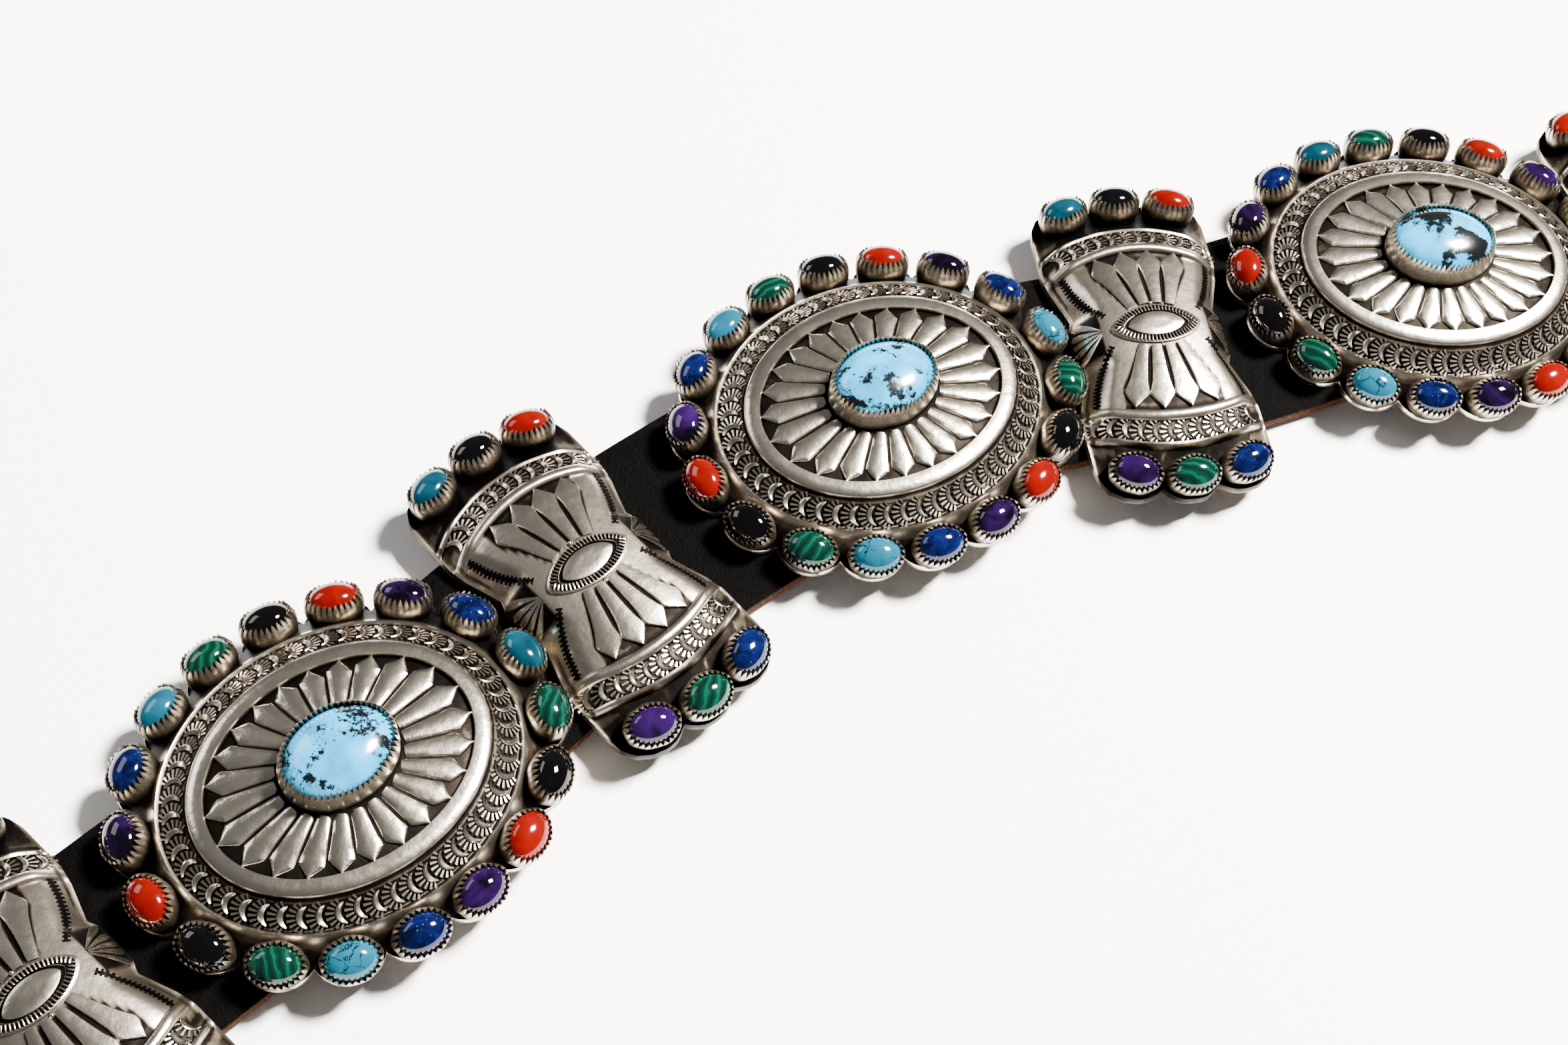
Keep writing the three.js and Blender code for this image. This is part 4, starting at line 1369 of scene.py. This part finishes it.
# Pieces that are there twice, turned round, and pieces that are there in all four quarters
def makeRelief(shape, border):
    def standing(pieceMesh, course, count, lift, size=1.0):
        name = pieceMesh.name
        piece = makeObject(name + "Piece", pieceMesh)
        path = makePath(name + "Path", course)
        mesh = repeatAlong(piece, path, count, silver, size=size, wobble=border["wobble"])
        return drape(mesh, shape, lift)

    count = border["pathPoints"]
    insetX, insetY, height = lensShape["path"]
    a, b = shape["lens"]
    turns = np.linspace(*lensShape["pathSpan"], count) * np.pi
    lensCourse = pointedOval(a - insetX, b - insetY, height, turns)
    x = np.linspace(border["bandHalfWidth"], -border["bandHalfWidth"], count)
    bandY = border["bandMiddle"] - shape["rowBend"] * x**2
    bandCourse = np.stack([x, bandY, np.zeros(count)], axis=1)
    corners = border["combCourse"]
    steps = np.linspace(0, len(corners) - 1, border["combPoints"])
    comb = np.stack([np.interp(steps, range(len(corners)), k) for k in zip(*corners)], axis=1)

    notch = makeBar("lensNotch", notchShape)
    stamp = makeStamp("smallStamp", {**stampShape, "rays": border["bandRays"]})
    bead = makeBead("bead", beadShape)
    bead.transform(Matrix.Translation((0, beadShape["y"], 0)))
    halves = [
        standing(notch, lensCourse, border["lensTeeth"], 0.0),
        drape(bead, shape),
        standing(stamp, bandCourse, border["bandStamps"], border["bandLift"], border["bandSize"]),
    ]
    quarters = [
        drape(makeFanPetal("fanPetal", *petal, fanShape), shape, fanShape["lift"])
        for petal in fanShape["petals"]
    ]
    combBar = makeBar("combBar", combShape)
    quarters.append(standing(combBar, comb, border["combTeeth"], border["combLift"]))
    quarters.append(drape(makeStrip("combLine", comb, *border["combLine"]), shape))
    shell = drape(makeShell("shell", shellShape), shape, shellShape["lift"])
    return [mirrored(mesh, side, side) for mesh in [shell, *halves] for side in (1, -1)] + [
        mirrored(mesh, x, y) for mesh in quarters for x in (1, -1) for y in (1, -1)
    ]


fly = butterflyShape
flyRelief = [
    drape(makeLens("lens", fly["lens"], lensShape), fly, lensShape["lift"]),
    makeButterflyPlate("butterflyPlate", fly),
    makeBeltLoop("butterflyLoop", *fly["loop"], beltLoopShape),
    *makeRelief(fly, borderShape),
]
print("butterfly relief shaped")


def seatMatrix(x, y, turn, side, jitter):
    outward = math.radians(side * (90 + turn))
    height = float(dome(fly, np.array(x), np.array(y)))
    spin = Matrix.Rotation(outward + math.pi / 2, 4, "Z")
    lean = Matrix.Rotation(math.radians(bezelShape["lean"] + jitter), 4, "X")
    return Matrix.Translation((x, side * y, height)) @ spin @ lean


random = np.random.default_rng(fly["seed"])

for number in range(1, 8):
    place = placeOf("butterfly", number)
    parts = list(flyRelief)
    stones = []
    for side, kinds in ((1, fly["farStones"]), (-1, fly["nearStones"])):
        for x, y, turn in fly["seats"]:
            jitter = float(random.uniform(-fly["seatJitter"], fly["seatJitter"]))
            bezel, stone = bezelMesh.copy(), cabochonMesh.copy()
            for mesh in (bezel, stone):
                mesh.transform(seatMatrix(x, y, turn, side, jitter))
            parts.append(bezel)
            column = int(np.sign(x)) * (-1 if number == fly["turnedRound"] else 1)
            tint = stone.attributes.new("tint", "FLOAT", "POINT")
            tint.data.foreach_set("value", [float(random.random())] * len(stone.vertices))
            stones.append(withMaterial(stone, stoneMaterials[kinds[1 + column]]))
    plate = joinSilver(f"butterfly{number}Silver", parts)
    finishPiece(f"butterflySilver_{number}", plate, place, "silver", f"butterfly_{number}")
    ends = joinMeshes(f"butterfly{number}Stones", stones)
    finishPiece(f"butterflyStones_{number}", ends, place, "turquoise")
    print("butterfly", number, "made")


# Leather strap: flat, with softly rounded edges, a rounded tongue and shallow creases

strapShape = {
    "width": 40.0,
    "thickness": 3.0,
    "lift": 1.3,
    "tongue": 18.0,
    "tongueSteps": 16,
    "tongueTip": 0.12,
    "lead": 36.0,
    # length, heading and share of the lift of each step back along the free end
    "tail": [(49.5, 30, 1.0), (49.5, 24, 0.3), (51.0, 20, 0.0)],
    "stepsPerSpan": 22,
    "across": 24,
    # share of the half width where the edge starts to round, and its drop
    "rounding": (0.93, 0.55),
    "crease": 0.14,
    # length along the strap and lean of each wave of the creases
    "waves": [(3.1, 5), (5.3, -8), (8.9, 3), (13.0, -2), (4.1, 9), (6.7, -6)],
    "seed": 5,
    # place across, share of the thickness and shade round the cut edge
    "cut": [(1, 0.55, 0.85), (1, 0.25, 1.0), (0.992, 0.0, 0.9)],
}


def strapCourse(shape):
    order = [(kind, n) for n in range(1, 8) for kind in ("butterfly", "concho")][:-1]
    spots = [np.array(centreOf(f"{kind}_{n}")[0][:2]) / mm for kind, n in order]
    turns = [piecePlace["headings"][kind][n - 1] for kind, n in order]
    ways = [math.degrees(math.atan2(*(b - a)[::-1])) for a, b in zip(spots, spots[1:])]
    ways = [ways[0], *ways, 0]
    stations = [
        (spot, ((before + after) / 2 + turn) / 2, shape["lift"])
        for spot, turn, before, after in zip(spots, turns, ways, ways[1:])
    ]
    spot, heading, _ = stations[0]
    for reach, turn, lift in shape["tail"]:
        angle = math.radians((heading + turn) / 2)
        spot = spot - reach * np.array([math.cos(angle), math.sin(angle)])
        heading = turn
        stations.insert(0, (spot, heading, lift * shape["lift"]))
    stations.append((stations[-1][0] + np.array([shape["lead"], 0]), 0, shape["lift"]))
    course = []
    for (p, a, liftA), (q, b, liftB) in zip(stations, stations[1:]):
        length = np.linalg.norm(q - p)
        start, end = [
            np.array([math.cos(math.radians(turn)), math.sin(math.radians(turn))]) * length
            for turn in (a, b)
        ]
        for u in np.arange(shape["stepsPerSpan"]) / shape["stepsPerSpan"]:
            spot = (2 * u**3 - 3 * u**2 + 1) * p + (u**3 - 2 * u**2 + u) * start
            spot = spot + (3 * u**2 - 2 * u**3) * q + (u**3 - u**2) * end
            course.append((*spot, liftA + (liftB - liftA) * u))
    course.append((*stations[-1][0], stations[-1][2]))
    return np.array(course)


def makeStrap(name, shape):
    course = strapCourse(shape)
    ahead = course[1, :2] - course[0, :2]
    ahead /= np.linalg.norm(ahead)
    shares = np.sin(np.linspace(1, 0, shape["tongueSteps"], endpoint=False) * np.pi / 2)
    tip = [(*(course[0, :2] - ahead * shape["tongue"] * t), course[0, 2]) for t in shares]
    widths = [max(math.sqrt(max(1 - t**2.2, 0)), shape["tongueTip"]) for t in shares]
    widths += [1.0] * len(course)
    course = np.array([*tip, *course])
    tangent = np.gradient(course[:, :2], axis=0)
    tangent /= np.linalg.norm(tangent, axis=1, keepdims=True)
    steps = np.linalg.norm(np.diff(course[:, :2], axis=0), axis=1)
    lengths = np.concatenate([[0], np.cumsum(steps)])
    across = np.linspace(-1, 1, shape["across"] + 1)
    thick, half = shape["thickness"], shape["width"] / 2
    start, drop = shape["rounding"]
    phases = np.random.default_rng(shape["seed"]).uniform(0, 6.28, len(shape["waves"]))
    inset = drop * (np.maximum(np.abs(across) - start, 0) / (1 - start)) ** 2
    cut = shape["cut"] + [(-y, z, shade) for y, z, shade in shape["cut"][::-1]]
    sections = []
    for spot, (dx, dy), width, length in zip(course, tangent, widths, lengths):
        swell = sum(
            np.sin(length / size + across * lean + phase)
            for (size, lean), phase in zip(shape["waves"], phases)
        )
        top = thick - inset + shape["crease"] * swell / len(shape["waves"])
        profile = [*zip(across, top), *[(y, z * thick) for y, z, _ in cut]]
        aside = np.array([-dy, dx]) * half * width
        sections.append([(*(spot[:2] + aside * y), spot[2] + z) for y, z in profile])
    shades = [0.0] * len(across) + [shade for _, _, shade in cut]
    return makeLoft(name, sections, shades * len(course))


strapMesh = withMaterial(makeStrap("strapLeather", strapShape), leather)
finishPiece("strapLeather", strapMesh, Matrix.Scale(mm, 4), "black_leather", "strap")
print("strap made")


# Buckle: the frame's own plain shape with its edges rubbed round

buckleShape = {"edgeRadius": 0.4, "steps": 3, "flatAngle": 2, "edgeAngle": 35}


def makeBuckle(name, source, shape):
    work = bmesh.new()
    work.from_mesh(source.data)
    work.transform(source.matrix_world)
    bmesh.ops.remove_doubles(work, verts=work.verts, dist=0.002 * mm)
    bmesh.ops.dissolve_limit(
        work, angle_limit=math.radians(shape["flatAngle"]), verts=work.verts, edges=work.edges
    )
    limit = math.radians(shape["edgeAngle"])
    corners = [edge for edge in work.edges if edge.calc_face_angle(0) > limit]
    bmesh.ops.bevel(
        work,
        geom=corners,
        offset=shape["edgeRadius"] * mm,
        segments=shape["steps"],
        profile=0.5,
        affect="EDGES",
        clamp_overlap=True,
    )
    work.verts.index_update()
    points = [vertex.co / mm for vertex in work.verts]
    faces = [[vertex.index for vertex in face.verts] for face in work.faces]
    work.free()
    return makeMesh(name, points, faces)


buckleMesh = makeBuckle("buckleSilver", frame["nodes"]["buckle"], buckleShape)
withMaterial(buckleMesh, buckleSilver)
finishPiece("buckleSilver", buckleMesh, Matrix.Scale(mm, 4), "buckle_silver", "buckle")
print("buckle made")

for thing in list(bpy.data.objects):
    if thing.name.endswith(("Piece", "Path")):
        bpy.data.objects.remove(thing)
bpy.context.view_layer.update()

print("all pieces in place")
